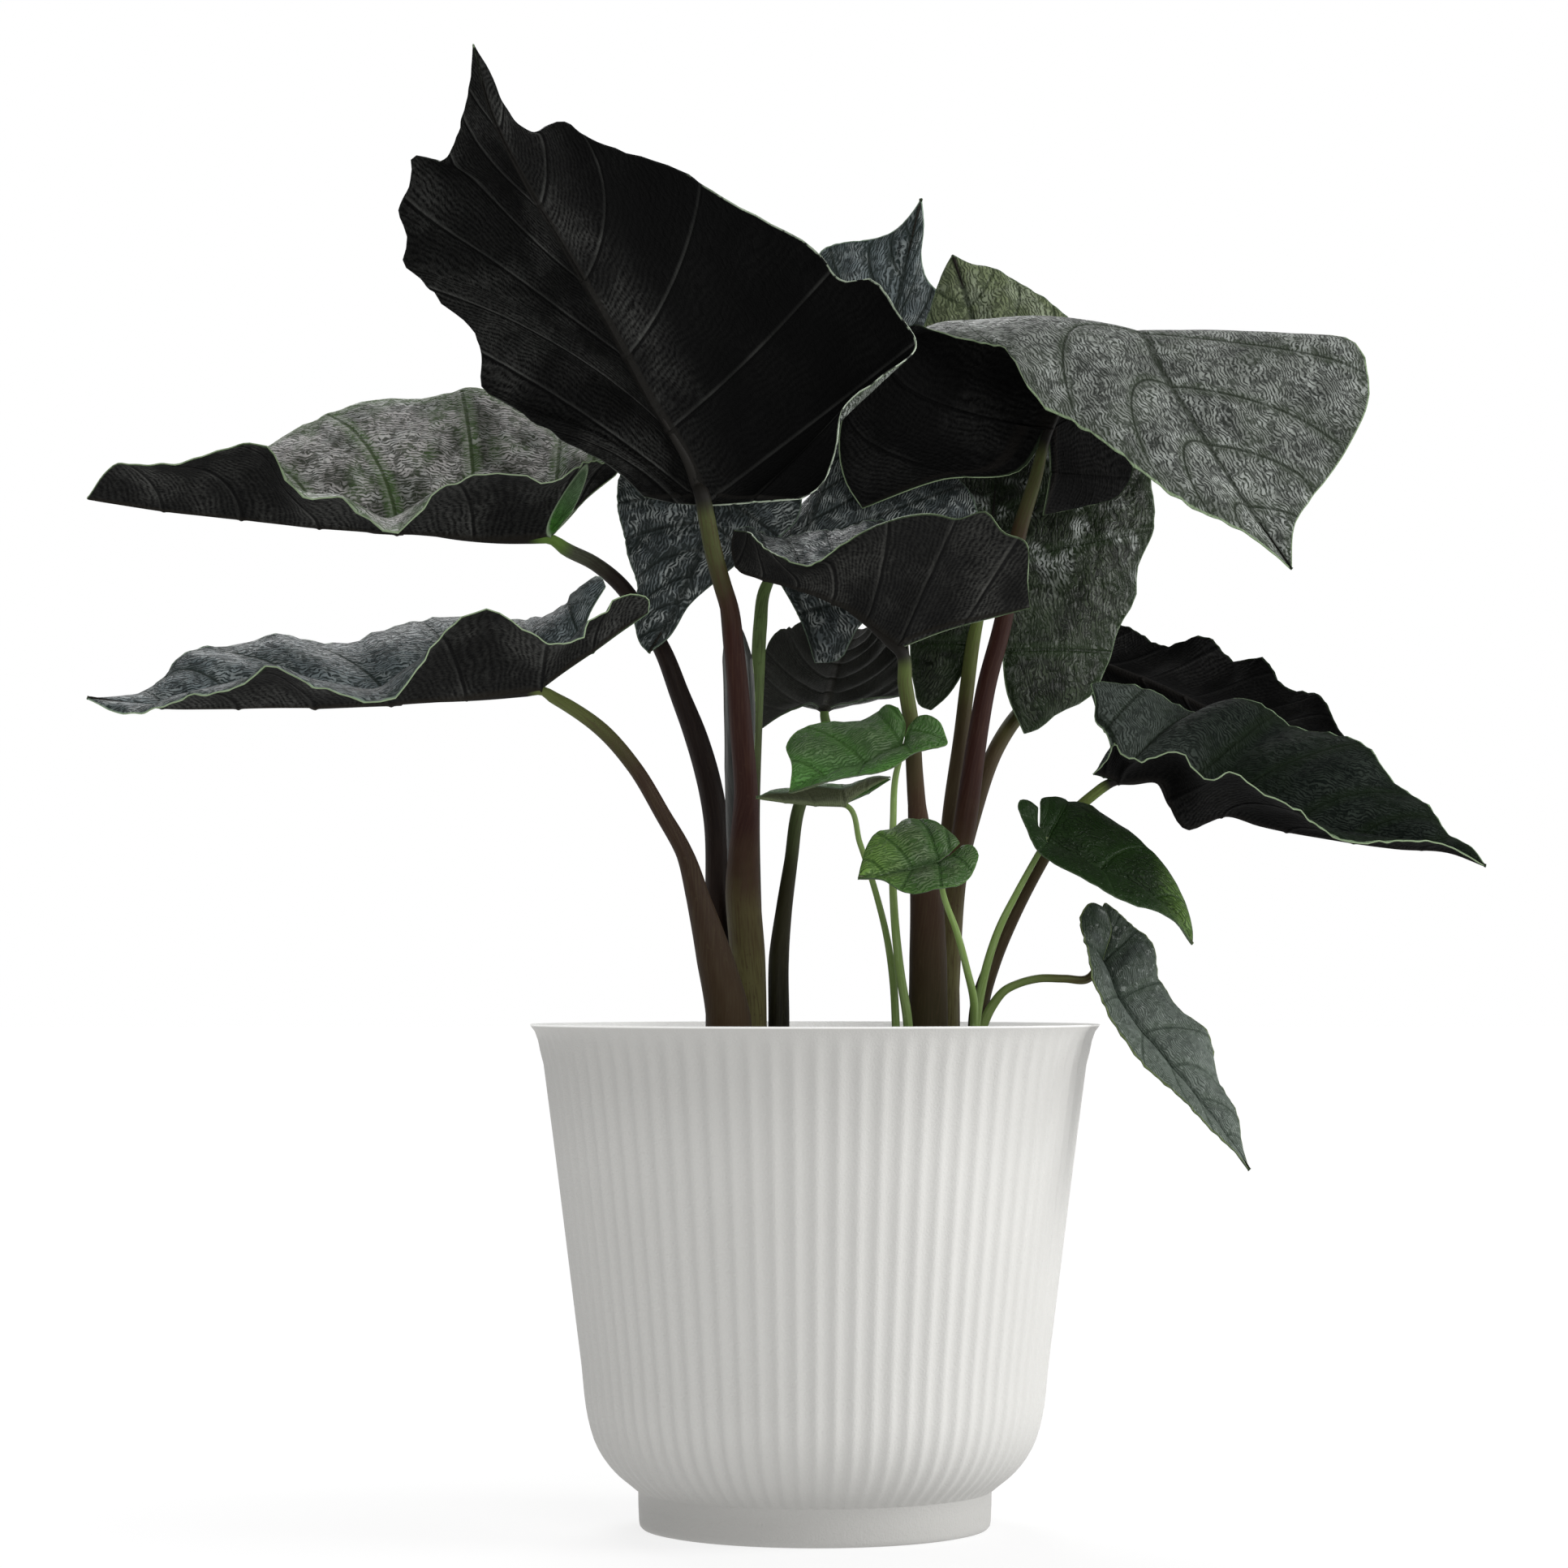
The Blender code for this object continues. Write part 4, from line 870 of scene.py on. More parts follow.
def leaf_back(name, dark, pale, keel, margin_tint, **choices):
    """Make a leaf's underside: dark velvet, hatched, each side vein with a painted highlight on one
    flank.
    """
    look = BACK_CHOICES | choices
    finish = Finish(name, look["roughness"], Specular_IOR_Level=look["shine"])
    vein, painted_highlight_flank, midrib, margin, branch, net, plain = leaf_lines(finish)
    hatch = (finish.vein_count() * HATCHES_A_VEIN + finish.noise(14.0, 2.0) * 4.0).wave()
    soft = finish.smooth(finish.noise(30.0, 3.0), 0.42, 0.66)
    grain = finish.smooth(finish.noise(1.3, 1.0), 0.45, 0.65)
    cover = (hatch * 0.35 + net * 0.2 + grain * 0.25) * (soft * 0.75 + 0.25) * look["hatching"]
    # Painted shade: the hatching and flank highlights fade out towards the right; the margin there
    # gets a broken pale rim of painted highlight.
    if look["sleek_from"]:
        across = finish.axis("X") * PAINTED_SHADE_WAY[0] + finish.axis("Z") * PAINTED_SHADE_WAY[1]
        sleek = finish.smooth(across, *look["sleek_from"])
        cover = cover * (1 - sleek * 0.93)
        painted_highlight_flank = painted_highlight_flank * (1 - sleek * 0.4)
        painted_highlight_rim = finish.smooth(finish.axis("X"), -0.06, -0.03) * finish.smooth(
            finish.noise(5.0), 0.40, 0.50)
        margin_tint = finish.mix(painted_highlight_rim, margin_tint, PAINTED_HIGHLIGHT_RIM)
    # Painted highlight on one flank of each side vein, as strong as the ridge choice says.
    cover = cover + painted_highlight_flank * (soft * 0.6 + 0.4) * look["ridge"]
    colour = finish.mix(cover.math("MINIMUM", 1.0), dark, pale)
    colour = finish.mix(vein * 0.85, colour, dark)
    colour = finish.mix(midrib * 0.85, colour, keel)
    if look["green_lobe"]:
        colour = with_green_lobe(finish, colour, net)
    colour = finish.mix(margin * 0.8, colour, margin_tint)
    height = hatch * 0.15 + net * 0.2 + vein * 0.3 + branch * 0.25 + finish.noise(9.0, 1.0) * 0.8
    return finish.done(Base_Color=colour, Normal=finish.bump(height, 1.0, 0.7))


# %% The finishes that the leaves share
FACES = {
    "silver": leaf_face("silver", (0.012, 0.015, 0.012), (0.27, 0.29, 0.265),
                        (0.026, 0.036, 0.021), (0.016, 0.022, 0.013), (0.24, 0.32, 0.19),
                        glints=0.26),
    "olive": leaf_face("olive", (0.020, 0.027, 0.014), (0.52, 0.50, 0.49),
                       (0.055, 0.105, 0.030), (0.036, 0.050, 0.020), (0.24, 0.32, 0.19),
                       spacing=1.5, clouds=0.9, glints=0.25),
    "blue": leaf_face("blue", (0.007, 0.011, 0.011), (0.20, 0.24, 0.25),
                      (0.013, 0.022, 0.019), (0.016, 0.024, 0.020), (0.24, 0.33, 0.24),
                      clouds=0.4, glints=0.2),
    "slate": leaf_face("slate", (0.006, 0.009, 0.009), (0.14, 0.165, 0.17),
                       (0.008, 0.013, 0.011), (0.008, 0.012, 0.010), (0.10, 0.14, 0.10),
                       roughness=0.38, swell=0.9, cells=(0.32, 0.75), glints=0.34,
                       spots=(6.0, 2.0, 0.44, 0.64)),
    "gloss": leaf_face("gloss", (0.003, 0.005, 0.002), (0.040, 0.052, 0.032),
                       (0.009, 0.019, 0.005), (0.008, 0.014, 0.005), (0.10, 0.14, 0.08),
                       roughness=0.30, gleam=0.14, swell=1.2, spacing=1.8, clouds=0.8,
                       glints=0.5, spots=(15.0, 2.0, 0.52, 0.66),
                       glints_from=("Z", 0.385, 0.425),
                       pale_end=("Z", 0.475, 0.495, (0.20, 0.24, 0.13))),
    "deep": leaf_face("deep", (0.003, 0.005, 0.004), (0.023, 0.030, 0.024),
                      (0.006, 0.011, 0.005), (0.008, 0.013, 0.007), (0.18, 0.25, 0.15),
                      roughness=0.6, gleam=0.03, swell=0.6,
                      pale_end=("X", 0.175, 0.125, (0.095, 0.112, 0.10))),
    "grey": leaf_face("grey", (0.020, 0.027, 0.022), (0.085, 0.105, 0.092),
                      (0.028, 0.044, 0.026), (0.030, 0.044, 0.032), (0.12, 0.16, 0.06),
                      clouds=0.6, spacing=0.9, swell=0.7, glints=0.35,
                      spots=(2.4, 2.0, 0.58, 0.70),
                      pale_end=("Z", 0.246, 0.205, (0.16, 0.19, 0.165))),
    "young": leaf_face("young", (0.030, 0.072, 0.018), (0.110, 0.170, 0.080),
                       (0.036, 0.100, 0.018), (0.032, 0.075, 0.016), (0.08, 0.17, 0.04),
                       roughness=0.4, spacing=1.3, glints=0.05,
                       pale_end=("Z", 0.326, 0.308, (0.08, 0.25, 0.04))),
    "lime": leaf_face("lime", (0.022, 0.050, 0.012), (0.120, 0.170, 0.085),
                      (0.026, 0.075, 0.012), (0.022, 0.052, 0.012), (0.06, 0.13, 0.03),
                      roughness=0.38, spacing=1.3, glints=0.05,
                      pale_end=("X", 0.045, 0.012, (0.16, 0.30, 0.05))),
    "smooth": leaf_face("smooth", (0.004, 0.011, 0.002), (0.012, 0.027, 0.007),
                        (0.007, 0.022, 0.003), (0.014, 0.032, 0.008), (0.02, 0.04, 0.012),
                        roughness=0.42, swell=0.3, spacing=1.5,
                        pale_end=("X", 0.136, 0.154, (0.11, 0.20, 0.04))),
}
BACKS = {
    "crest": leaf_back("leaf_crest_back", (0.0024, 0.0024, 0.0024), (0.062, 0.063, 0.059),
                       (0.010, 0.0095, 0.0085), (0.010, 0.011, 0.010), shine=0.02, ridge=0.58,
                       hatching=0.75, sleek_from=(0.152, 0.175)),
    "velvet": leaf_back("leaf_velvet", (0.004, 0.004, 0.004), (0.085, 0.086, 0.080),
                        (0.016, 0.014, 0.011), (0.050, 0.072, 0.040)),
    "black": leaf_back("leaf_black", (0.002, 0.002, 0.002), (0.022, 0.022, 0.021),
                       (0.010, 0.009, 0.008), (0.030, 0.044, 0.024)),
    "folded": leaf_back("leaf_folded", (0.004, 0.004, 0.004), (0.085, 0.086, 0.080),
                        (0.016, 0.014, 0.011), (0.045, 0.065, 0.036), green_lobe=True),
    "ridged": leaf_back("leaf_ridged", (0.005, 0.005, 0.005), (0.074, 0.074, 0.068),
                        (0.012, 0.011, 0.009), (0.060, 0.085, 0.045), ridge=0.5, hatching=0.8),
    "dusty": leaf_back("leaf_dusty", (0.032, 0.033, 0.029), (0.14, 0.144, 0.130),
                       (0.024, 0.023, 0.018), (0.045, 0.060, 0.036), ridge=0.15, hatching=0.35),
    "fresh": leaf_back("leaf_fresh", (0.045, 0.052, 0.026), (0.15, 0.17, 0.10),
                       (0.13, 0.16, 0.08), (0.12, 0.17, 0.07), roughness=0.5, shine=0.2),
}


def blade_edge(name, colour, patch, painted_highlight_from=None):
    """Make the finish of a blade's thin edge, which may get a broken painted highlight towards the
    right.
    """
    finish = Finish(name, 0.5)
    tint = finish.mix(finish.noise(3.0), colour, patch)
    if painted_highlight_from:
        pale = finish.smooth(finish.axis("X"), *painted_highlight_from) * finish.smooth(
            finish.noise(6.0), 0.40, 0.5)
        tint = finish.mix(pale, tint, (0.42, 0.48, 0.38))
    return finish.done(Base_Color=tint)


EDGES = {
    "pale": blade_edge("leaf_edge", (0.26, 0.33, 0.20), (0.14, 0.21, 0.10)),
    "dark": blade_edge("leaf_edge_dark", (0.020, 0.032, 0.018), (0.05, 0.09, 0.035)),
    # The crest's edge gets a broken painted highlight towards the right.
    "half": blade_edge("leaf_edge_half", (0.008, 0.010, 0.007), (0.016, 0.020, 0.014),
                       (-0.06, -0.04)),
}
print("leaf finishes:", len(FACES) + len(BACKS) + len(EDGES))

# %% [markdown]
# ## Blades
# The rows of a blade follow its side veins, which leave the midrib and sweep towards the tip. So
# a vein is never a stair across the grid, and rows can crowd where a vein's ridge needs them.

# %% Rows along a blade and columns across it
ROWS_A_CREASE = 16
COLUMNS = 26
SWEEP = 0.15
YOUNG_SWEEP = 0.10
ROW_CROWDING = 0.8
COLUMN_CROWDING = 1.5
LOBE_RIB_COLUMN = 4


def swept(name, s, t, share):
    """Return how far along its rails a side vein lies at t, when it leaves the midrib at s."""
    ahead = np.clip((s - share) / (1 - share), 0.0, 1.0)
    most = YOUNG_SWEEP if name in YOUNG else SWEEP
    return s + most * np.sin(math.pi * ahead) ** 2 * t ** 1.5


def row_stops(creases):
    """Return the rows' places, close together at each side vein."""
    even = np.linspace(0, creases, creases * ROWS_A_CREASE + 1)
    return (even - ROW_CROWDING * np.sin(2 * math.pi * even) / (2 * math.pi)) / creases


stops = row_stops(CREASES)
print("rows are", round(float(stops[1] - stops[0]), 4), "to",
      round(float(np.diff(stops).max()), 4), "of the run apart")

# %% [markdown]
# Between the side veins the blade puffs up a little, and its margin waves. These are the same
# puffs and waves that the solid underneath has. The fine mesh adds a smaller crinkle along the
# margin. Seen from below, the midrib is a round keel, and each side vein a low ridge that thins
# out towards the margin; on the face they are shallow grooves.

# %% The form of a blade
PUFF_HEIGHT = 1.5
MARGIN_WAVE = 1.6
CRINKLE, YOUNG_CRINKLE = 0.45, 0.12
CRINKLES = ((2.3, 3.1), (3.7, 1.7))
PHASE_STEP, HALF_PHASE = 0.37, 0.3
FULL_WIDTH = 30.0
KEEL_HEIGHT = 1.9
KEEL_WIDTH = 1.3
KEEL_FLARE = 1.0
LOBE_RIB_HEIGHT = 0.9
VEIN_HEIGHT = 0.55
VEIN_WIDTH = 0.9
GROOVE = 0.5
EDGE_THINNING = 0.2
EDGE_TAPER = 1.2


def half_grid(name, hand, phase):
    """Return one half's points in millimetres, its UVs and the values that its finishes read."""
    half = read_half(name, hand)
    creases, share = half["creases"], half["share"]
    s = row_stops(creases)[:, None]
    t = np.linspace(0, 1, COLUMNS + 1)[None, :] ** COLUMN_CROWDING
    along = swept(name, s, t, share)
    inner, crown, outer, up = (look_up(half, key, along)
                               for key in ("inner", "crown", "outer", "up"))
    width = look_up(half, "width", along)[..., 0]
    across = np.broadcast_to(t, along.shape)
    u = across[..., None]
    points = (1 - u) * (1 - 2 * u) * inner + 4 * u * (1 - u) * crown + u * (2 * u - 1) * outer

    puff = PUFF_HEIGHT * 0.5 * (1 - np.cos(2 * math.pi * creases * s)) * np.sin(math.pi * across)
    wave = MARGIN_WAVE * np.sin(2 * math.pi * (0.5 * creases * along + phase)) * across ** 3
    crinkle = sum(np.sin(2 * math.pi * (pace * creases * along + start * phase))
                  for pace, start in CRINKLES) * across ** 6
    crinkle = crinkle * (YOUNG_CRINKLE if name in YOUNG else CRINKLE)
    inside = np.minimum(width / FULL_WIDTH, 1.0)
    points = points + up * (inside * (puff + wave + crinkle))[..., None]

    spacing = np.linalg.norm(np.gradient(points, s[:, 0], axis=0), axis=2) / creases
    apart = np.abs((s * creases + 0.5) % 1 - 0.5) * spacing
    in_lobe = np.broadcast_to(s < share, along.shape)
    edge = np.where(in_lobe, np.minimum(across, 1 - across), 1 - across) * width
    ahead = np.clip((s - share) / (1 - share), 0.0, 1.0)
    flare = 1 + KEEL_FLARE * (1 - ahead)
    rib = np.where(in_lobe, np.abs(t - t[0, LOBE_RIB_COLUMN]), across / flare) * width
    run = np.where(in_lobe, LOBE_RIB_HEIGHT * s / share, KEEL_HEIGHT * (1 - ahead) ** 0.8)
    thin = EDGE_THINNING * np.exp(-edge / EDGE_TAPER)
    keel = run * np.exp(-(rib / KEEL_WIDTH) ** 2)
    at_end = np.minimum(1.0, 4 * np.minimum(s, 1 - s) * creases)
    ridge = VEIN_HEIGHT * (1 - 0.8 * across) * inside * at_end * np.exp(-(apart / VEIN_WIDTH) ** 2)
    uv = np.stack([np.broadcast_to(s * creases, along.shape), across], axis=-1)
    values = {"pitch": spacing, "edge": edge, "rib": rib, "across": across * width,
              "under": keel + ridge - thin, "over": -GROOVE * (keel / KEEL_HEIGHT + ridge) - thin}
    return points, uv, values


# %% [markdown]
# The two halves are joined along the midrib. Solidify then gives the sheet its other face and a
# thin edge, each with its own material, and each face moves by its own relief.

# %% Making a blade
THICKNESS = 0.8


def move_out(mesh, distances):
    """Move each vertex along its normal by its distance in millimetres."""
    places, normals = np.empty(len(mesh.vertices) * 3), np.empty(len(mesh.vertices) * 3)
    mesh.vertices.foreach_get("co", places)
    mesh.vertex_normals.foreach_get("vector", normals)
    mesh.vertices.foreach_set("co", places + normals * np.repeat(distances * MM, 3))
    mesh.update()


def read_value(mesh, key):
    """Return the value of this name at each vertex."""
    values = np.empty(len(mesh.vertices))
    mesh.attributes[key].data.foreach_get("value", values)
    return values


def make_blade(name, number, slot, face, back, edge):
    """Make one leaf blade with a face, a back and an edge."""
    halves = []
    for offset, hand in enumerate(("left", "right")):
        points, uv, values = half_grid(name, hand, PHASE_STEP * number + HALF_PHASE * offset)
        piece = placed_grid("half_" + hand, points, uv, values)
        if hand == "left":
            in_edit_mode(piece, bpy.ops.mesh.flip_normals)
        halves.append(piece)
    blade = joined("leaf_" + name, halves)
    in_edit_mode(blade, merge_points)
    for finish in (FACES[face], BACKS[back], EDGES[edge]):
        blade.data.materials.append(finish)

    over, under = read_value(blade.data, "over"), read_value(blade.data, "under")
    move_out(blade.data, np.full(len(over), THICKNESS / 2))
    bpy.ops.object.modifier_add(type="SOLIDIFY")
    solidify = blade.modifiers[-1]
    solidify.thickness = THICKNESS * MM
    solidify.material_offset = 1
    solidify.material_offset_rim = 2
    bpy.ops.object.modifier_apply(modifier=solidify.name)
    move_out(blade.data, np.concatenate([over, under]))
    for spare in ("under", "over"):
        blade.data.attributes.remove(blade.data.attributes[spare])
    bpy.ops.object.shade_smooth_by_angle(angle=math.radians(60))
    finished(blade, slot, "blade_" + name)
    return blade


# %% [markdown]
# Which finish a leaf shows depends on its age: old leaves are silvery grey or blue-grey on their
# faces and black on their backs, the leaves inside are darker and glossier, and young ones green.

# %% All blades
LEAF_LOOKS = {
    "crest": ("dark_leaf", "silver", "crest", "half"),
    "upper_left": ("grey_leaf", "olive", "folded", "pale"),
    "lower_left": ("grey_leaf", "blue", "velvet", "pale"),
    "upper_right": ("grey_leaf", "silver", "black", "pale"),
    "rear_top": ("blue_leaf", "blue", "velvet", "pale"),
    "rear_right": ("grey_leaf", "gloss", "velvet", "pale"),
    "middle": ("dark_leaf", "slate", "ridged", "pale"),
    "rear_middle": ("blue_leaf", "slate", "velvet", "pale"),
    "drooping": ("dark_leaf", "slate", "velvet", "dark"),
    "rear_low": ("dark_leaf", "gloss", "dusty", "dark"),
    "right": ("grey_leaf", "deep", "black", "pale"),
    "right_rear": ("dark_leaf", "gloss", "black", "dark"),
    "young_centre": ("young_leaf", "young", "fresh", "dark"),
    "young_left": ("young_leaf", "young", "fresh", "dark"),
    "young_front": ("young_leaf", "lime", "fresh", "dark"),
    "young_right": ("young_leaf", "smooth", "fresh", "dark"),
    "hanging": ("grey_leaf", "grey", "velvet", "dark"),
}
for number, (name, look) in enumerate(LEAF_LOOKS.items()):
    make_blade(name, number, *look)

# %% [markdown]
# ## Stalks
# Each leaf hangs on one round, fleshy stalk. Its foot is a sheath that clasps the next stalk, so
# it is wider there and one edge laps over the other. At its top the stalk runs on as the leaf's
# keel. A curve with a bevel would be the quick way, but it can't lap over itself, so each stalk
# is a grid rolled round its line.

# %% The stalks' lines, from the joint down to the soil: x, z, depth, radius
STALKS = {
    "crest": [(-48, 436, -37, 3.2), (-46, 427, -35, 3.5), (-43, 412, -31, 3.7),
              (-39, 397, -29, 3.8), (-36, 387, -28, 3.9), (-34, 370, -27, 4.2),
              (-31, 336, -22, 4.8), (-29, 310, -17, 5.0), (-30, 267, -9, 7.6),
              (-28, 240, -4, 7.6), (-27, 214, -1, 7.2)],
    "upper_left": [(-111, 416, 28, 2.2), (-105, 412, 30, 3.0), (-93, 406, 32, 3.1),
                   (-83, 398, 33, 3.4), (-72, 383, 34, 3.6), (-64, 369, 33, 3.8),
                   (-57, 351, 31, 4.3), (-50, 333, 29, 5.0), (-46, 320, 27, 5.2),
                   (-42, 301, 22, 5.3), (-41, 262, 16, 5.1), (-41, 214, 12, 5.0)],
    "lower_left": [(-114, 352, -25, 2.0), (-111, 350, -25, 2.5), (-104, 346, -26, 2.8),
                   (-90, 336, -27, 3.1), (-76, 320, -28, 3.1), (-64, 300, -28, 3.3),
                   (-55, 284, -28, 3.6), (-49, 265, -28, 5.0), (-42, 240, -27, 7.6),
                   (-36, 214, -25, 9.4)],
    "upper_right": [(98, 461, 25, 2.2), (93, 442, 22, 2.8), (86, 419, 18, 3.4),
                    (79, 380, 14, 3.9), (72, 353, 12, 4.1), (69, 336, 11, 4.2),
                    (64, 301, 9, 4.9), (59, 270, 7, 4.6), (57, 240, 6, 4.6), (56, 214, 5, 4.6)],
    "rear_top": [(24, 458, 100, 1.8), (29, 430, 100, 2.0), (36, 385, 98, 2.2),
                 (39, 350, 88, 2.3), (41, 320, 74, 2.5), (45, 290, 60, 2.7),
                 (48, 240, 42, 3.0), (48, 214, 37, 3.0)],
    "rear_right": [(72, 403, 50, 2.2), (70, 390, 48, 2.6), (67, 375, 44, 3.0), (64, 353, 39, 3.2),
                   (62, 336, 35, 3.3), (57, 301, 28, 3.3), (53, 250, 22, 3.2), (52, 214, 19, 3.2)],
    "middle": [(36, 369, -60, 2.6), (38, 355, -57, 3.1), (41, 335, -52, 3.3), (42, 318, -46, 3.5),
               (43, 304, -41, 3.8), (47, 270, -30, 6.8), (48, 240, -24, 8.0),
               (48, 214, -20, 8.4)],
    "rear_middle": [(-18, 401, 30, 2.2), (-21, 395, 29, 2.6), (-23, 380, 27, 3.0),
                    (-24, 361, 25, 3.0), (-25, 336, 24, 2.9), (-26, 300, 23, 2.9),
                    (-25, 250, 23, 2.9), (-24, 214, 23, 2.9)],
    "drooping": [(-42, 434, 18, 2.0), (-41, 428, 24, 2.2), (-40, 412, 32, 2.3),
                 (-37, 380, 37, 2.4), (-34, 340, 37, 2.6), (-34, 290, 35, 2.8),
                 (-36, 240, 33, 3.0), (-36, 214, 32, 3.0)],
    "rear_low": [(4, 343, 45, 1.9), (5, 336, 41, 2.3), (1, 322, 36, 2.6), (-7, 302, 30, 2.8),
                 (-10, 281, 24, 2.9), (-13, 260, 19, 3.5), (-15, 240, 14, 4.4),
                 (-15, 214, 11, 4.6)],
    "right": [(126, 314, -15, 1.9), (122, 312, -15, 2.2), (118, 309, -15, 2.2),
              (108, 300, -15, 2.3), (98, 284, -15, 2.4), (85, 260, -14, 2.7),
              (76, 240, -12, 3.2), (70, 222, -11, 4.0)],
    "right_rear": [(120, 362, 88, 2.0), (104, 358, 78, 2.8), (84, 340, 61, 3.4),
                   (77, 329, 53, 3.5), (67, 301, 42, 3.5), (60, 270, 35, 3.3), (58, 250, 31, 3.2),
                   (58, 214, 28, 3.2)],
    "young_centre": [(37, 328, -75, 1.1), (34, 316, -70, 1.3), (33, 298, -64, 1.4),
                     (33, 267, -52, 1.6), (36, 233, -44, 1.9), (39, 214, -41, 2.0)],
    "young_left": [(13, 304, -52, 1.1), (19, 288, -47, 1.2), (26, 266, -42, 1.3),
                   (30, 250, -39, 1.4), (33, 230, -36, 1.6), (34, 214, -35, 1.7)],
    "young_front": [(52, 279, -92, 1.1), (54, 267, -86, 1.2), (60, 250, -76, 1.4),
                    (64, 235, -66, 1.5), (67, 221, -56, 1.7), (67, 212, -50, 1.8)],
    "young_right": [(96, 287, -50, 1.2), (85, 267, -46, 1.4), (78, 253, -42, 1.6),
                    (70, 226, -35, 1.9), (68, 214, -32, 2.0)],
    "hanging": [(120, 237, -19, 1.5), (115, 231, -18, 1.8), (105, 231, -18, 1.7),
                (94, 231, -18, 1.7), (86, 229, -19, 1.7), (80, 226, -20, 1.8),
                (75, 220, -20, 2.0), (71, 212, -21, 2.2)],
}

FURLED_LEAF = [(-35, 386, -6, 0.8), (-34, 376, -5, 4.2), (-33, 366, -4, 6.0), (-32, 345, -3, 6.3),
               (-32, 320, -1, 6.0), (-33, 302, 2, 4.6), (-34, 285, 5, 3.0), (-32, 250, 10, 2.5),
               (-31, 214, 13, 2.5)]
print("stalks:", len(STALKS))

# %% [markdown]
# Old stalks are dark red-brown, olive at the sheath and fresh green just under the leaf, with
# fine lengthwise fibres and small pale dashes. Young ones are light green from end to end. The
# stretch under the blade takes the midrib's colour, and the sheath's free edge is a pale hem. On
# most old stalks that dark reaches a little below the joint, partly as painted shade under the
# blade.

# %% Stalk finish
SPECK_SIZE, BLOTCH_SIZE = 1.3, 7.0
MIDRIB = (0.009, 0.008, 0.0065)
JOINT_RUN, KEEL_BEGINS = (0.955, 0.99), (1.01, 1.04)
HEM_TINT = (0.13, 0.16, 0.06)


def stalk_finish(name, foot, middle, top, fibre, fresh_from=0.78, roughness=0.5,
                 joint=MIDRIB, keel=MIDRIB):
    """Make a stalk's finish, whose colour changes along its run from foot to top."""
    finish = Finish(name, roughness, Specular_IOR_Level=0.12)
    true_run = finish.value("run")
    run = true_run + (finish.noise(14.0, 2.0) - 0.5) * 0.12
    lines = finish.fibres(1.3)
    specks = finish.smooth(finish.noise(SPECK_SIZE, 1.0, (1, 1, 0.45)), 0.66, 0.74)
    blotch = finish.noise(BLOTCH_SIZE, 3.0, (1, 1, 0.4))
    colour = finish.mix(finish.smooth(run, 0.15, 0.48), foot, middle)
    colour = finish.mix(finish.smooth(run, fresh_from, 0.98), colour, top)
    colour = finish.mix(finish.smooth(lines, 0.42, 0.68) * 0.5, colour, fibre)
    colour = finish.mix(specks * 0.35 + blotch * 0.12, colour, fibre)
    # Just below the joint the stalk takes the joint colour; where that is the midrib's dark, it is
    # partly painted shade under the blade.
    colour = finish.mix(finish.smooth(true_run, *JOINT_RUN), colour, joint)
    colour = finish.mix(finish.smooth(true_run, *KEEL_BEGINS), colour, keel)
    hem = finish.smooth(finish.value("turn"), 0.035, 0.02) * finish.smooth(run, 0.55, 0.40)
    colour = finish.mix(hem * 0.7, colour, HEM_TINT)
    height = lines + specks * 0.3
    return finish.done(Base_Color=colour, Normal=finish.bump(height, 0.25, 0.7),
                       Roughness=roughness + blotch * 0.15)


STALK_FINISHES = {
    "maroon": stalk_finish("stalk_maroon", (0.115, 0.108, 0.042), (0.022, 0.006, 0.004),
                           (0.056, 0.070, 0.022), (0.040, 0.018, 0.011), fresh_from=0.76),
    "black": stalk_finish("stalk_black", (0.022, 0.011, 0.007), (0.009, 0.005, 0.004),
                          (0.060, 0.066, 0.042), (0.020, 0.013, 0.009),
                          fresh_from=0.86, joint=(0.09, 0.16, 0.03)),
    "olive": stalk_finish("stalk_olive", (0.042, 0.025, 0.011), (0.028, 0.015, 0.009),
                          (0.085, 0.105, 0.030), (0.052, 0.038, 0.020),
                          fresh_from=0.70, joint=(0.085, 0.105, 0.030)),
    "brown": stalk_finish("stalk_brown", (0.032, 0.027, 0.011), (0.042, 0.028, 0.013),
                          (0.105, 0.155, 0.034), (0.060, 0.048, 0.022), fresh_from=0.66),
    "umber": stalk_finish("stalk_umber", (0.032, 0.027, 0.011), (0.038, 0.019, 0.011),
                          (0.072, 0.100, 0.026), (0.052, 0.036, 0.018), fresh_from=0.66),
    "dark": stalk_finish("stalk_dark", (0.008, 0.007, 0.004), (0.024, 0.022, 0.009),
                         (0.110, 0.170, 0.055), (0.030, 0.030, 0.013),
                         fresh_from=0.50, joint=(0.110, 0.170, 0.055)),
    "green": stalk_finish("stalk_green", (0.12, 0.18, 0.05), (0.15, 0.23, 0.06),
                          (0.14, 0.21, 0.06), (0.24, 0.32, 0.14), roughness=0.42,
                          joint=(0.14, 0.21, 0.06), keel=(0.14, 0.21, 0.06)),
    "blushing": stalk_finish("stalk_blushing", (0.13, 0.19, 0.05), (0.13, 0.19, 0.05),
                             (0.075, 0.045, 0.024), (0.16, 0.20, 0.08), fresh_from=0.56,
                             roughness=0.42, joint=(0.05, 0.035, 0.020),
                             keel=(0.05, 0.04, 0.03)),
}
print("stalk finishes:", len(STALK_FINISHES))

# %% [markdown]
# The stalk's line ends at the joint. Where the leaf carries on in the stalk's direction, the tube
# goes on under the midrib and thins out there, so that the two grow into each other. Where the
# blade turns back sharply, the tube only rounds off.

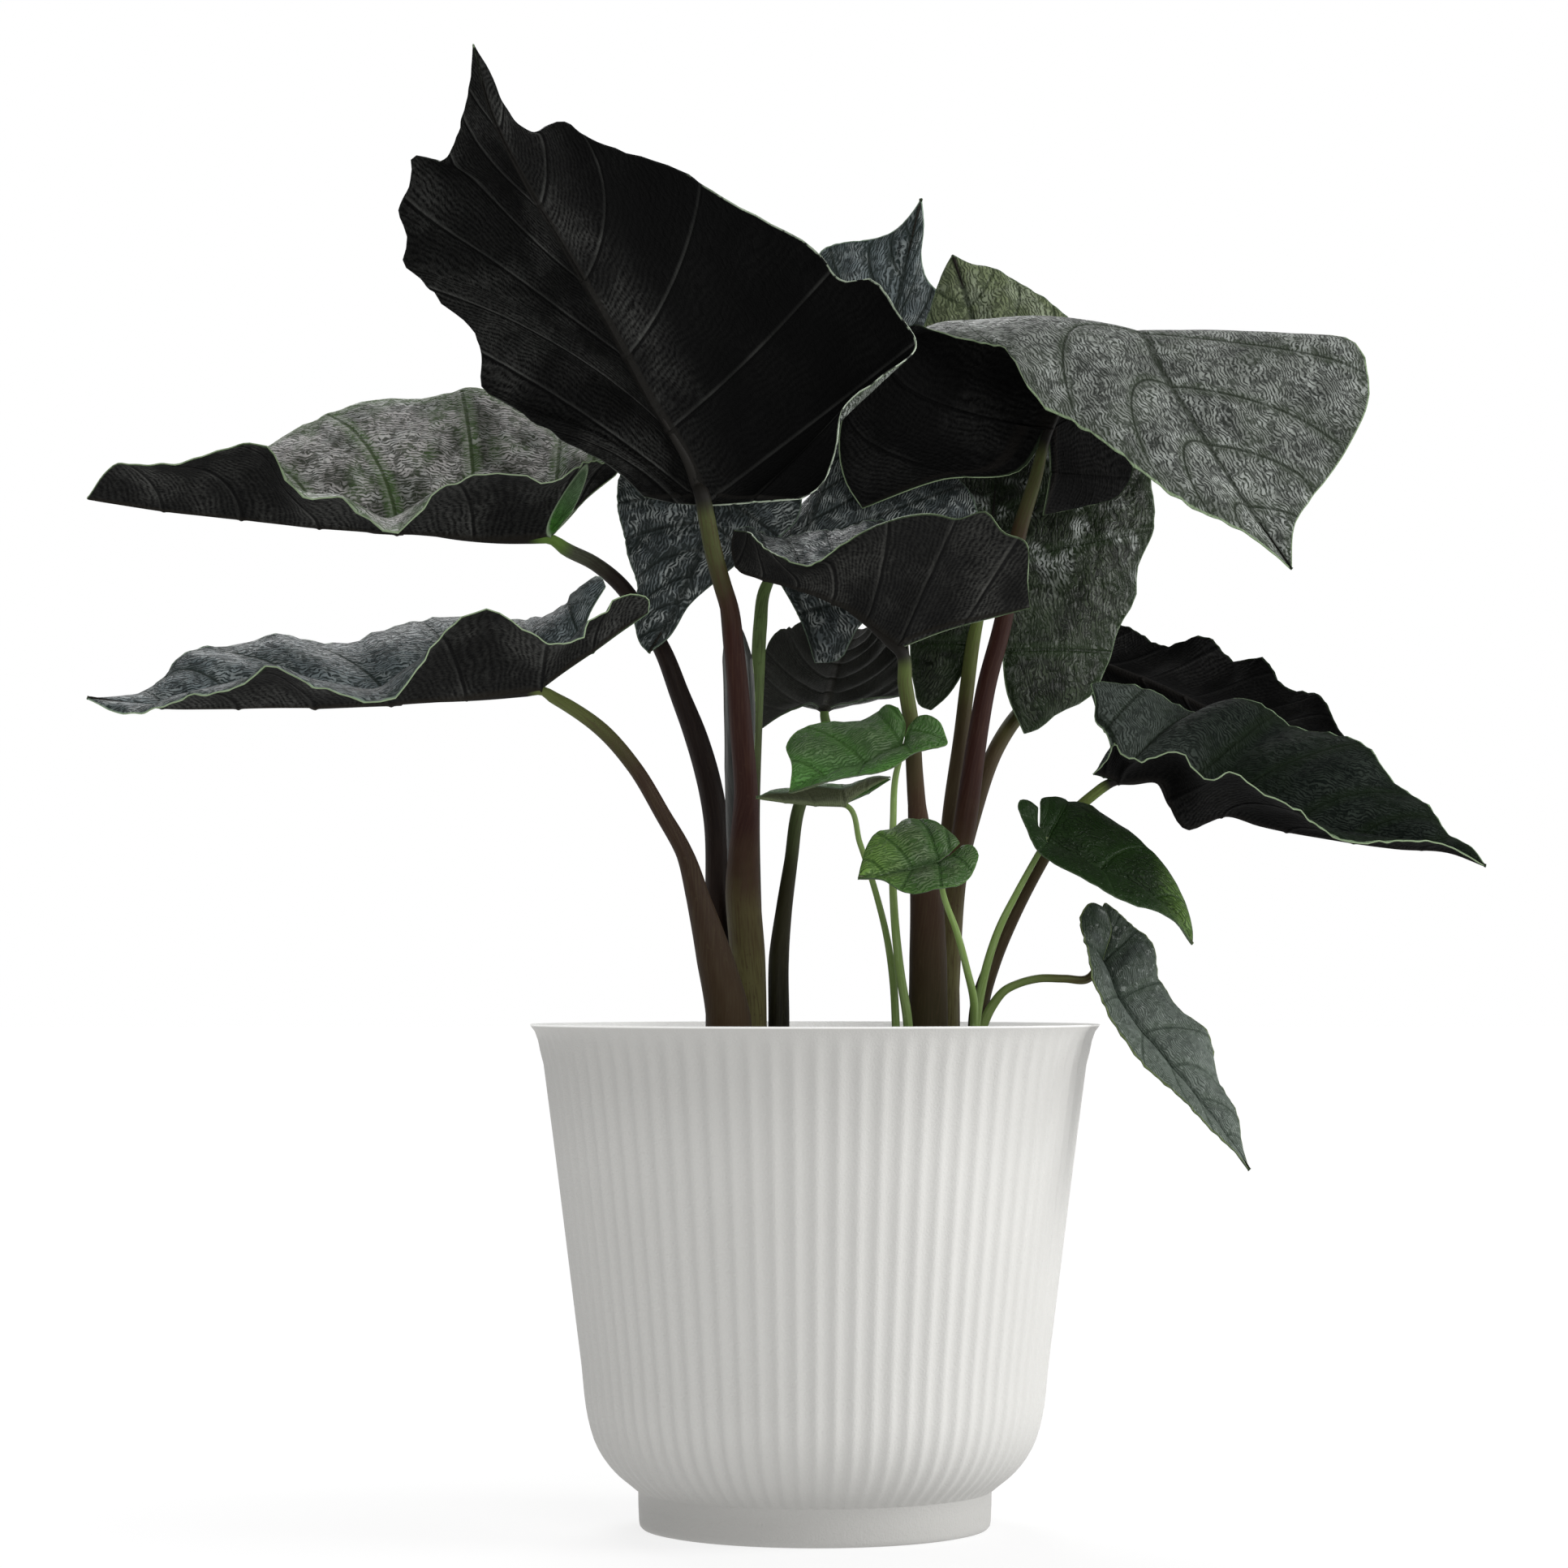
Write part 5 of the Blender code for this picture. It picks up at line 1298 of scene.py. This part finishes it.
# %% The line of a stalk
SOIL_TOP = 191.0
ROOT_DEPTH = 14.0
STALK_RINGS = 110
KEEL_RUN = (0.04, 0.10, 0.18, 0.28)
KEEL_TIP_RADIUS = 0.5
KEEL_SINK = 0.55
SAME_WAY = 0.35


def under_midrib(name, joint_radius):
    """Return points and radii of the stretch of stalk that runs under the midrib."""
    halves = [read_half(name, hand) for hand in ("left", "right")]
    share = halves[0]["share"]
    along = share + (1 - share) * np.array(KEEL_RUN)
    up = sum(look_up(half, "up", along) for half in halves)
    up /= np.linalg.norm(up, axis=1)[:, None]
    radii = np.linspace(joint_radius * 0.75, KEEL_TIP_RADIUS, len(along))
    return look_up(halves[0], "inner", along) - up * (radii * KEEL_SINK)[:, None], radii


def stalk_line(name, drawn):
    """Return the rings' centres and radii, from the root to the end, and the joint's share."""
    points = [np.array(seen(point)) for point in drawn][::-1]
    radii = [point[3] for point in drawn][::-1]
    root = np.array((points[0][0], points[0][1], SOIL_TOP - ROOT_DEPTH))
    points, radii = [root] + points, [radii[0]] + radii
    joint = len(points) - 1
    if name in LEAVES:
        keel, keel_radii = under_midrib(name, radii[-1])
        arriving, leaving = points[-1] - points[-2], keel[1] - points[-1]
        turn = arriving @ leaving / np.linalg.norm(arriving) / np.linalg.norm(leaving)
        if turn > SAME_WAY:
            points += list(keel)
            radii += list(keel_radii)
    knots, read = smooth_curve(points)
    shares = np.linspace(0, 1, STALK_RINGS + 1)
    return read(shares), np.interp(shares, knots, radii), knots[joint]


# %% A grid rolled round a line
TUBE_SIDES = 28
END_RINGS = 5
FIBRE_STRETCH = 0.06


def rolled(name, path, radii, lap, seam, run, finish):
    """Roll a grid round a line; its first edge laps over its last by this share of the radius."""
    ahead = np.gradient(path, axis=0)
    ahead /= np.linalg.norm(ahead, axis=1)[:, None]
    aside = np.cross(ahead, (0.0, 1.0, 0.0))
    aside /= np.linalg.norm(aside, axis=1)[:, None]
    away = np.cross(ahead, aside)
    turn = np.linspace(0, 1, TUBE_SIDES + 1)[None, :]
    swell = 1 + lap[:, None] * (0.5 - turn)
    swell[:, -1] = swell[:, 0]
    rounding = np.ones(len(radii))
    rounding[-END_RINGS:] = np.sqrt(1 - np.linspace(0, 1, END_RINGS) ** 2)
    rounding[0] = 0.0
    angle = 2 * math.pi * (turn + seam[:, None])
    reach = (radii * rounding)[:, None] * swell
    points = (path[:, None, :] + (reach * np.cos(angle))[..., None] * aside[:, None, :]
              + (reach * np.sin(angle))[..., None] * away[:, None, :])
    steps = np.linalg.norm(np.diff(path, axis=0), axis=1)
    length = np.concatenate([[0], np.cumsum(steps)])[:, None] + 0 * turn
    uv = np.stack([radii[:, None] * 2 * math.pi * turn, length * FIBRE_STRETCH], axis=-1)
    values = {"run": run[:, None] + 0 * turn, "turn": turn + 0 * length}
    piece = placed_grid(name, points, uv, values)
    in_edit_mode(piece, merge_points, bpy.ops.mesh.normals_make_consistent)
    piece.data.materials.append(finish)
    bpy.ops.object.shade_smooth_by_angle(angle=math.radians(60))
    return piece


# %% All stalks
UPPER_POINT = 3
SHEATH_LAP = 0.16
SHEATH_START, SHEATH_FULL = 1.18, 1.7
FIRST_SEAM, SEAM_STEP, SEAMS = 0.62, 0.07, 3
STALK_LOOKS = {"crest": "maroon", "upper_left": "black", "lower_left": "olive",
               "upper_right": "maroon", "middle": "umber", "rear_right": "brown",
               "rear_middle": "dark", "rear_low": "dark", "drooping": "black",
               "hanging": "blushing"}


def make_stalk(name, drawn, finish, seam, slot):
    """Make a stalk, with a lapped sheath where it is much wider than its upper part."""
    path, radii, joint = stalk_line(name, drawn)
    wide = (radii / drawn[UPPER_POINT][3] - SHEATH_START) / (SHEATH_FULL - SHEATH_START)
    run = np.linspace(0, 1, len(radii)) / joint
    piece = rolled("stem_" + name, path, radii, SHEATH_LAP * np.clip(wide, 0, 1),
                   np.full(len(radii), seam), run, STALK_FINISHES[finish])
    finished(piece, slot, "stalk_" + name)


for number, (name, drawn) in enumerate(STALKS.items()):
    young = name in YOUNG + ["hanging"]
    make_stalk(name, drawn, STALK_LOOKS.get(name, "green" if young else "brown"),
               FIRST_SEAM + SEAM_STEP * (number % SEAMS),
               "green_stalk" if young else "brown_stalk")

# %% [markdown]
# ## The rolled leaf
# The newest leaf is still rolled up like a sheet of paper: a slim spindle whose outer edge runs
# down it in a slow spiral. The same rolled grid makes it, with a deeper lap and a turning seam.

# %% Rolled leaf
ROLL_LAP = 0.34
ROLL_SEAM = (0.70, 0.52)
STEM_RADIUS, ROLL_RADIUS = 2.6, 4.6
TIP_SHARE = 1 / 8
EDGE_SHARE = 0.07


def make_rolled_leaf():
    """Make the new leaf that is still rolled up, in one piece with its own stalk."""
    finish = Finish("leaf_rolled", 0.4, Specular_IOR_Level=0.4)
    run, turn = finish.value("run"), finish.value("turn")
    lines = finish.fibres(0.8)
    blade = finish.smooth(run, 0.36, 0.5)
    rolled_edge = finish.smooth(turn, EDGE_SHARE, EDGE_SHARE * 0.4) * blade
    colour = finish.mix(blade, (0.030, 0.038, 0.016), (0.011, 0.013, 0.010))
    colour = finish.mix(finish.smooth(lines, 0.4, 0.75) * 0.5, colour, (0.030, 0.034, 0.028))
    colour = finish.mix(rolled_edge, colour, (0.18, 0.26, 0.10))
    material = finish.done(Base_Color=colour, Normal=finish.bump(lines, 0.3, 0.8))

    path, radii, _ = stalk_line("rolled", FURLED_LEAF)
    share = np.linspace(0, 1, len(radii))
    wide = (np.clip((radii - STEM_RADIUS) / (ROLL_RADIUS - STEM_RADIUS), 0, 1)
            * np.clip((1 - share) / TIP_SHARE, 0, 1))
    seam = np.interp(share, (0, 1), ROLL_SEAM)
    piece = rolled("leaf_rolled", path, radii, ROLL_LAP * wide, seam, share, material)
    finished(piece, "green_stalk", "furled_leaf")


make_rolled_leaf()

# %% [markdown]
# ## The pot
# The pot is moulded plastic, white and matte, with a fine pebbled skin. Eighty soft flutes
# run up its wall from the plain foot and die out under the lip. By hand it starts as a circle,
# whose edge is extruded, scaled and lifted from ring to ring, up the outside, over the lip and
# down the inside. The flutes are then drawn into the rings of the outer wall. Its colour carries
# painted shade towards the foot and under the lip, and painted light on the lip's inner side,
# which is lighter and glows a little.

# %% Pot profile: radius, height and how much of the flutes' depth shows
RIB_COUNT = 80
RIB_HEIGHT = 0.95
RIB_SHARPNESS = 1.4
POINTS_A_RIB = 8
FOOT = [(71.0, 0.0, 0), (72.8, 0.4, 0), (73.7, 1.4, 0), (74.0, 3.0, 0), (74.3, 9.5, 0),
        (74.4, 15.9, 0), (74.6, 16.2, 0)]
BODY = [(74.9, 16.6), (78.0, 19.4), (82.0, 22.8), (86.1, 27.2), (89.0, 31.3), (92.1, 37.6),
        (94.0, 44.0), (97.7, 72.0), (102.8, 113.0), (107.9, 154.0), (113.2, 195.0)]
LIP = [(114.6, 200.5, 1), (115.8, 205.0, 0.7), (117.6, 208.8, 0.2), (119.4, 211.0, 0),
       (119.9, 211.7, 0), (119.3, 212.0, 0), (118.3, 211.9, 0), (117.5, 211.0, 0)]
INSIDE = [(115.3, 208.4, 0), (112.6, 203.6, 0), (110.6, 194.0, 0), (99.6, 113.0, 0),
          (90.8, 45.0, 0), (85.0, 32.5, 0), (71.0, 20.0, 0), (70.5, 4.0, 0)]
BODY_STEPS = 34
RING_CROWDING = 1.6
FLUTE_START, FLUTE_RISE = 0.55, 9.0
PAINTED_LIGHT_LIP_RINGS, PAINTED_LIGHT_RINGS = 4, 7


def pot_rings():
    """Return the pot's rings from the foot's edge up the outside and down the inside."""
    rings = smooth_curve([(radius, height, 0) for radius, height in BODY])[1](
        np.linspace(0, 1, BODY_STEPS) ** RING_CROWDING)
    body = [(radius, height, min(1.0, FLUTE_START + (height - BODY[0][1]) / FLUTE_RISE))
            for radius, height, _ in rings]
    return FOOT + body + LIP + INSIDE


print("the pot has", len(pot_rings()), "rings")

# %% Pot finish
def pot_finish():
    """Make white moulded plastic with a fine pebbled skin, with painted shade at the foot and under
    the lip and a painted glow on the inner lip.
    """
    finish = Finish("pot_plastic", 0.58, Specular_IOR_Level=0.35, Emission_Strength=1.0)
    pebble = finish.noise(0.9, 2.0)
    cloud = finish.noise(60.0, 2.0)
    speck = finish.smooth(finish.noise(1.6, 0.0), 0.80, 0.86)
    colour = finish.mix(cloud * 0.5 + pebble * 0.3, (0.525, 0.52, 0.50), (0.605, 0.60, 0.58))
    # Painted shade: darker towards the foot and in a band under the lip.
    height = finish.axis("Z")
    shade = (finish.smooth(height, 0.055, 0.010) * 0.95).math(
        "MAXIMUM", finish.smooth(height, 0.150, 0.207) * 0.45)
    colour = finish.mix(shade, colour, (0.39, 0.385, 0.37))
    # Painted light: the inner side of the lip is made lighter and glows, though it is no lamp.
    inner = finish.value("inner")
    colour = finish.mix(inner, colour, (0.82, 0.82, 0.80))
    colour = finish.mix(speck * 0.12, colour, (0.34, 0.33, 0.31))
    painted_glow = finish.mix(inner, (0.0, 0.0, 0.0), (0.22, 0.22, 0.215))
    return finish.done(Base_Color=colour, Roughness=0.52 + pebble * 0.15, Emission_Color=painted_glow,
                       Normal=finish.bump(pebble + finish.noise(2.4, 1.0) * 0.6, 0.30, 0.7))


# %% Making the pot
def make_pot():
    """Extrude the pot ring by ring, close its floor and foot, and draw in the flutes."""
    rings = pot_rings()
    count = RIB_COUNT * POINTS_A_RIB
    bpy.ops.object.select_all(action="DESELECT")
    bpy.ops.mesh.primitive_circle_add(vertices=count, radius=rings[0][0] * MM)
    pot = bpy.context.object
    pot.name = pot.data.name = "fluted_pot"
    bpy.ops.object.mode_set(mode="EDIT")
    bpy.ops.mesh.select_all(action="SELECT")
    for (radius, height, _), (wider, higher, _) in zip(rings, rings[1:]):
        bpy.ops.mesh.extrude_region()
        bpy.ops.transform.resize(value=(wider / radius, wider / radius, 1),
                                 center_override=(0, 0, height * MM))
        bpy.ops.transform.translate(value=(0, 0, (higher - height) * MM))
    bpy.ops.mesh.extrude_region()
    bpy.ops.mesh.merge(type="CENTER")
    bpy.ops.object.mode_set(mode="OBJECT")

    # Mark the rings of the inner lip that get painted light.
    inner = pot.data.attributes.new("inner", "FLOAT", "POINT").data
    first = len(rings) - len(INSIDE) - PAINTED_LIGHT_LIP_RINGS
    for index in range(first * count, (first + PAINTED_LIGHT_RINGS) * count):
        inner[index].value = 1.0
    for index, (_, _, share) in enumerate(rings):
        for vertex in pot.data.vertices[index * count:(index + 1) * count]:
            turn = math.atan2(vertex.co.y, vertex.co.x)
            crest = (0.5 + 0.5 * math.cos(RIB_COUNT * turn)) ** RIB_SHARPNESS
            stretch = 1 + share * RIB_HEIGHT * MM * crest / vertex.co.xy.length
            vertex.co.x *= stretch
            vertex.co.y *= stretch
            vertex.select = index == 0
    in_edit_mode(pot, lambda: bpy.ops.mesh.select_all(action="DESELECT"),
                 lambda: bpy.ops.mesh.select_mode(type="EDGE"),
                 bpy.ops.mesh.select_non_manifold, bpy.ops.mesh.edge_face_add,
                 lambda: bpy.ops.mesh.select_all(action="SELECT"),
                 bpy.ops.mesh.normals_make_consistent)
    pot.data.materials.append(pot_finish())
    bpy.ops.object.shade_smooth_by_angle(angle=math.radians(42))
    finished(pot, "pot", "pot")


make_pot()

# %% [markdown]
# ## The soil
# Dark, crumbly potting soil fills the pot to two centimetres below the lip. Its surface is a round
# grid with lumps, and loose crumbs lie on it. A crumb is an icosphere that is dented once for
# each of a few kinds; the kinds are then turned, sized and scattered by a seeded draw.

# %% Soil finish
def soil_finish():
    """Make dark potting soil with brown fibres and paler grains."""
    finish = Finish("potting_soil", 0.95, Specular_IOR_Level=0.2)
    fine, coarse = finish.noise(0.8, 3.0), finish.noise(5.0, 3.0)
    fibre = finish.smooth(finish.noise(1.4, 2.0, (1, 0.25, 1)), 0.62, 0.7)
    colour = finish.mix(fine * 0.6 + coarse * 0.4, (0.010, 0.007, 0.005), (0.075, 0.048, 0.030))
    colour = finish.mix(fibre * 0.5, colour, (0.15, 0.09, 0.05))
    return finish.done(Base_Color=colour, Normal=finish.bump(fine + coarse * 0.5, 0.6, 1.0))


# %% The surface of the soil
SOIL_CROWN = 3.5
SOIL_RADIUS = 109.6
SOIL_RINGS = 90
SOIL_SIDES = 200
SOIL_WALL = [(109.2, 188.0), (99.1, 113.0), (90.3, 45.0), (84.5, 32.8), (70.5, 20.3), (70.0, 4.4),
             (0.0, 4.4)]
LUMP_SIZE = (11.0, 3.6)
LUMP_HEIGHT = (2.2, 0.9)


def soil_height(x, y):
    """Return the height of the lumpy soil at a place, in millimetres."""
    edge = min(1.0, math.hypot(x, y) / SOIL_RADIUS)
    lumps = sum(height * noise.noise(Vector((x / size, y / size, size)))
                for size, height in zip(LUMP_SIZE, LUMP_HEIGHT))
    return SOIL_TOP + SOIL_CROWN * (1 - edge ** 2) + lumps * (1 - edge ** 6)


def make_soil_surface():
    """Make the soil as one closed body: its lumpy top, its wall and its floor."""
    rows = []
    turns = np.linspace(0, 2 * math.pi, SOIL_SIDES + 1)
    for radius in np.linspace(0, SOIL_RADIUS, SOIL_RINGS):
        x, y = radius * np.cos(turns), radius * np.sin(turns)
        rows.append([(a, b, soil_height(a, b)) for a, b in zip(x, y)])
    for radius, height in SOIL_WALL:
        rows.append([(radius * math.cos(turn), radius * math.sin(turn), height) for turn in turns])
    piece = placed_grid("soil_top", np.array(rows))
    in_edit_mode(piece, merge_points, bpy.ops.mesh.normals_make_consistent)
    return piece


# %% Crumbs
CRUMBS = 1100
CRUMB_KINDS = 5
CRUMB_SIZE = (0.5, 2.1)
CRUMB_DENT = 0.45
SMALL_ONES = 2.5
WALL_CLEARANCE, STALK_CLEARANCE = 1.3, 1.5
SEED = 11


def crumb_kind(kind):
    """Return the points and faces of one kind of crumb, about one across."""
    bpy.ops.object.select_all(action="DESELECT")
    bpy.ops.mesh.primitive_ico_sphere_add(subdivisions=2, radius=1)
    crumb = bpy.context.object
    points = []
    for vertex in crumb.data.vertices:
        dent = 1 + CRUMB_DENT * noise.noise(vertex.co * 1.3 + Vector((kind * 7.0, 0, 0)))
        points.append(tuple(vertex.co * dent))
    faces = [tuple(face.vertices) for face in crumb.data.polygons]
    bpy.data.objects.remove(crumb)
    return points, faces


def make_crumbs():
    """Scatter crumbs over the soil, clear of the stalks."""
    draw = random.Random(SEED)
    kinds = [crumb_kind(kind) for kind in range(CRUMB_KINDS)]
    stems = [(*seen(drawn[-1])[:2], drawn[-1][3]) for drawn in [*STALKS.values(), FURLED_LEAF]]
    points, faces = [], []
    while len(faces) < CRUMBS * len(kinds[0][1]):
        radius, turn = SOIL_RADIUS * 0.97 * math.sqrt(draw.random()), draw.uniform(0, 2 * math.pi)
        x, y = radius * math.cos(turn), radius * math.sin(turn)
        size = (draw.uniform(0, 1) ** SMALL_ONES * (CRUMB_SIZE[1] - CRUMB_SIZE[0])
                + CRUMB_SIZE[0])
        if any(math.hypot(x - a, y - b) < r + size + STALK_CLEARANCE for a, b, r in stems):
            continue
        if radius + size * WALL_CLEARANCE > SOIL_RADIUS:
            continue
        shape, sides = draw.choice(kinds)
        spin = Vector((draw.random(), draw.random(), draw.random())).to_track_quat("Z", "X")
        flat = Vector((1, draw.uniform(0.6, 1), draw.uniform(0.45, 0.8)))
        start = len(points)
        for corner in shape:
            moved = spin @ (Vector(corner) * flat) * size
            points.append((x + moved.x, y + moved.y, soil_height(x, y) + size * 0.25 + moved.z))
        faces += [tuple(start + corner for corner in side) for side in sides]
    mesh = bpy.data.meshes.new("crumbs")
    mesh.from_pydata([tuple(c * MM for c in point) for point in points], [], faces)
    crumbs = bpy.data.objects.new("crumbs", mesh)
    bpy.context.scene.collection.objects.link(crumbs)
    return crumbs


soil = joined("potting_soil", [make_soil_surface(), make_crumbs()])
soil.data.materials.append(soil_finish())
bpy.ops.object.shade_smooth_by_angle(angle=math.radians(60))
finished(soil, "soil", "soil")

# %% [markdown]
# ## Stage and light
# The plant stands on a plain pale floor that runs out into white, as a paper sweep does in a
# studio. A floor lit by lamps alone would turn grey in the distance, so it glows, wholly from
# half a metre away.

# %% Floor
FLOOR_SIZE = 40.0
FADE_NEAR, FADE_FAR = 0.10, 0.45
NEAR_GLOW, NEAR_GREY = 0.76, 0.25
bpy.ops.object.select_all(action="DESELECT")
bpy.ops.mesh.primitive_plane_add(size=FLOOR_SIZE)
floor = bpy.context.object
floor.name = "floor"
paper = Finish("floor", 0.85, Specular_IOR_Level=0.15, Emission_Strength=1.0)
distance = paper.node("ShaderNodeVectorMath", {"operation": "LENGTH"}, {0: paper.place()}, "Value")
fade = paper.smooth(distance, FADE_NEAR, FADE_FAR)
floor.data.materials.append(paper.done(
    Base_Color=paper.mix(fade, (NEAR_GREY,) * 3, (0.0, 0.0, 0.0)),
    Emission_Color=paper.mix(fade, (NEAR_GLOW,) * 3, (1.0, 1.0, 1.0))))
print("the floor turns white", FADE_FAR, "m away")

# %% [markdown]
# A large soft light from the right models the folds of the leaves and brightens the pot's right
# side. A front light evens the pot's middle, where the photograph shows little of the flutes. Low
# lights on both sides, a little behind, bring the flutes out towards the pot's edges, and one
# from behind and above draws the leaves' margins. The world behind is white where the camera sees
# it, but it lights the plant only weakly, or the black leaves would turn grey.

# %% Lights: place, radius and power
AIM = Vector((0, 0, 0.32))
LIGHTS = {
    "key": ((2.5, -0.5, 1.2), 1.4, 46.0),
    "side": ((2.5, 0.7, 0.4), 0.8, 11.0),
    "left": ((-2.3, 0.9, 0.6), 0.5, 5.0),
    "front": ((0.8, -2.7, 1.3), 1.5, 31.0),
    "back": ((-0.4, 1.8, 2.2), 1.4, 32.0),
}
AMBIENT = 0.25
for name, (place, size, power) in LIGHTS.items():
    turn = (AIM - Vector(place)).to_track_quat("-Z", "Y").to_euler()
    bpy.ops.object.light_add(type="AREA", radius=size, location=place, rotation=turn)
    light = bpy.context.object
    light.name = "light_" + name
    light.data.energy = power

world = bpy.data.worlds.new("studio")
world.use_nodes = True
nodes, links = world.node_tree.nodes, world.node_tree.links
seen_by_camera = nodes.new("ShaderNodeLightPath").outputs["Is Camera Ray"]
strength = nodes.new("ShaderNodeMapRange")
strength.inputs["To Min"].default_value = AMBIENT
links.new(seen_by_camera, strength.inputs["Value"])
links.new(strength.outputs["Result"], nodes["Background"].inputs["Strength"])
nodes["Background"].inputs["Color"].default_value = (1.0, 1.0, 1.0, 1.0)
bpy.context.scene.world = world
bpy.context.scene.view_settings.view_transform = "Standard"
print("lights:", ", ".join(LIGHTS))
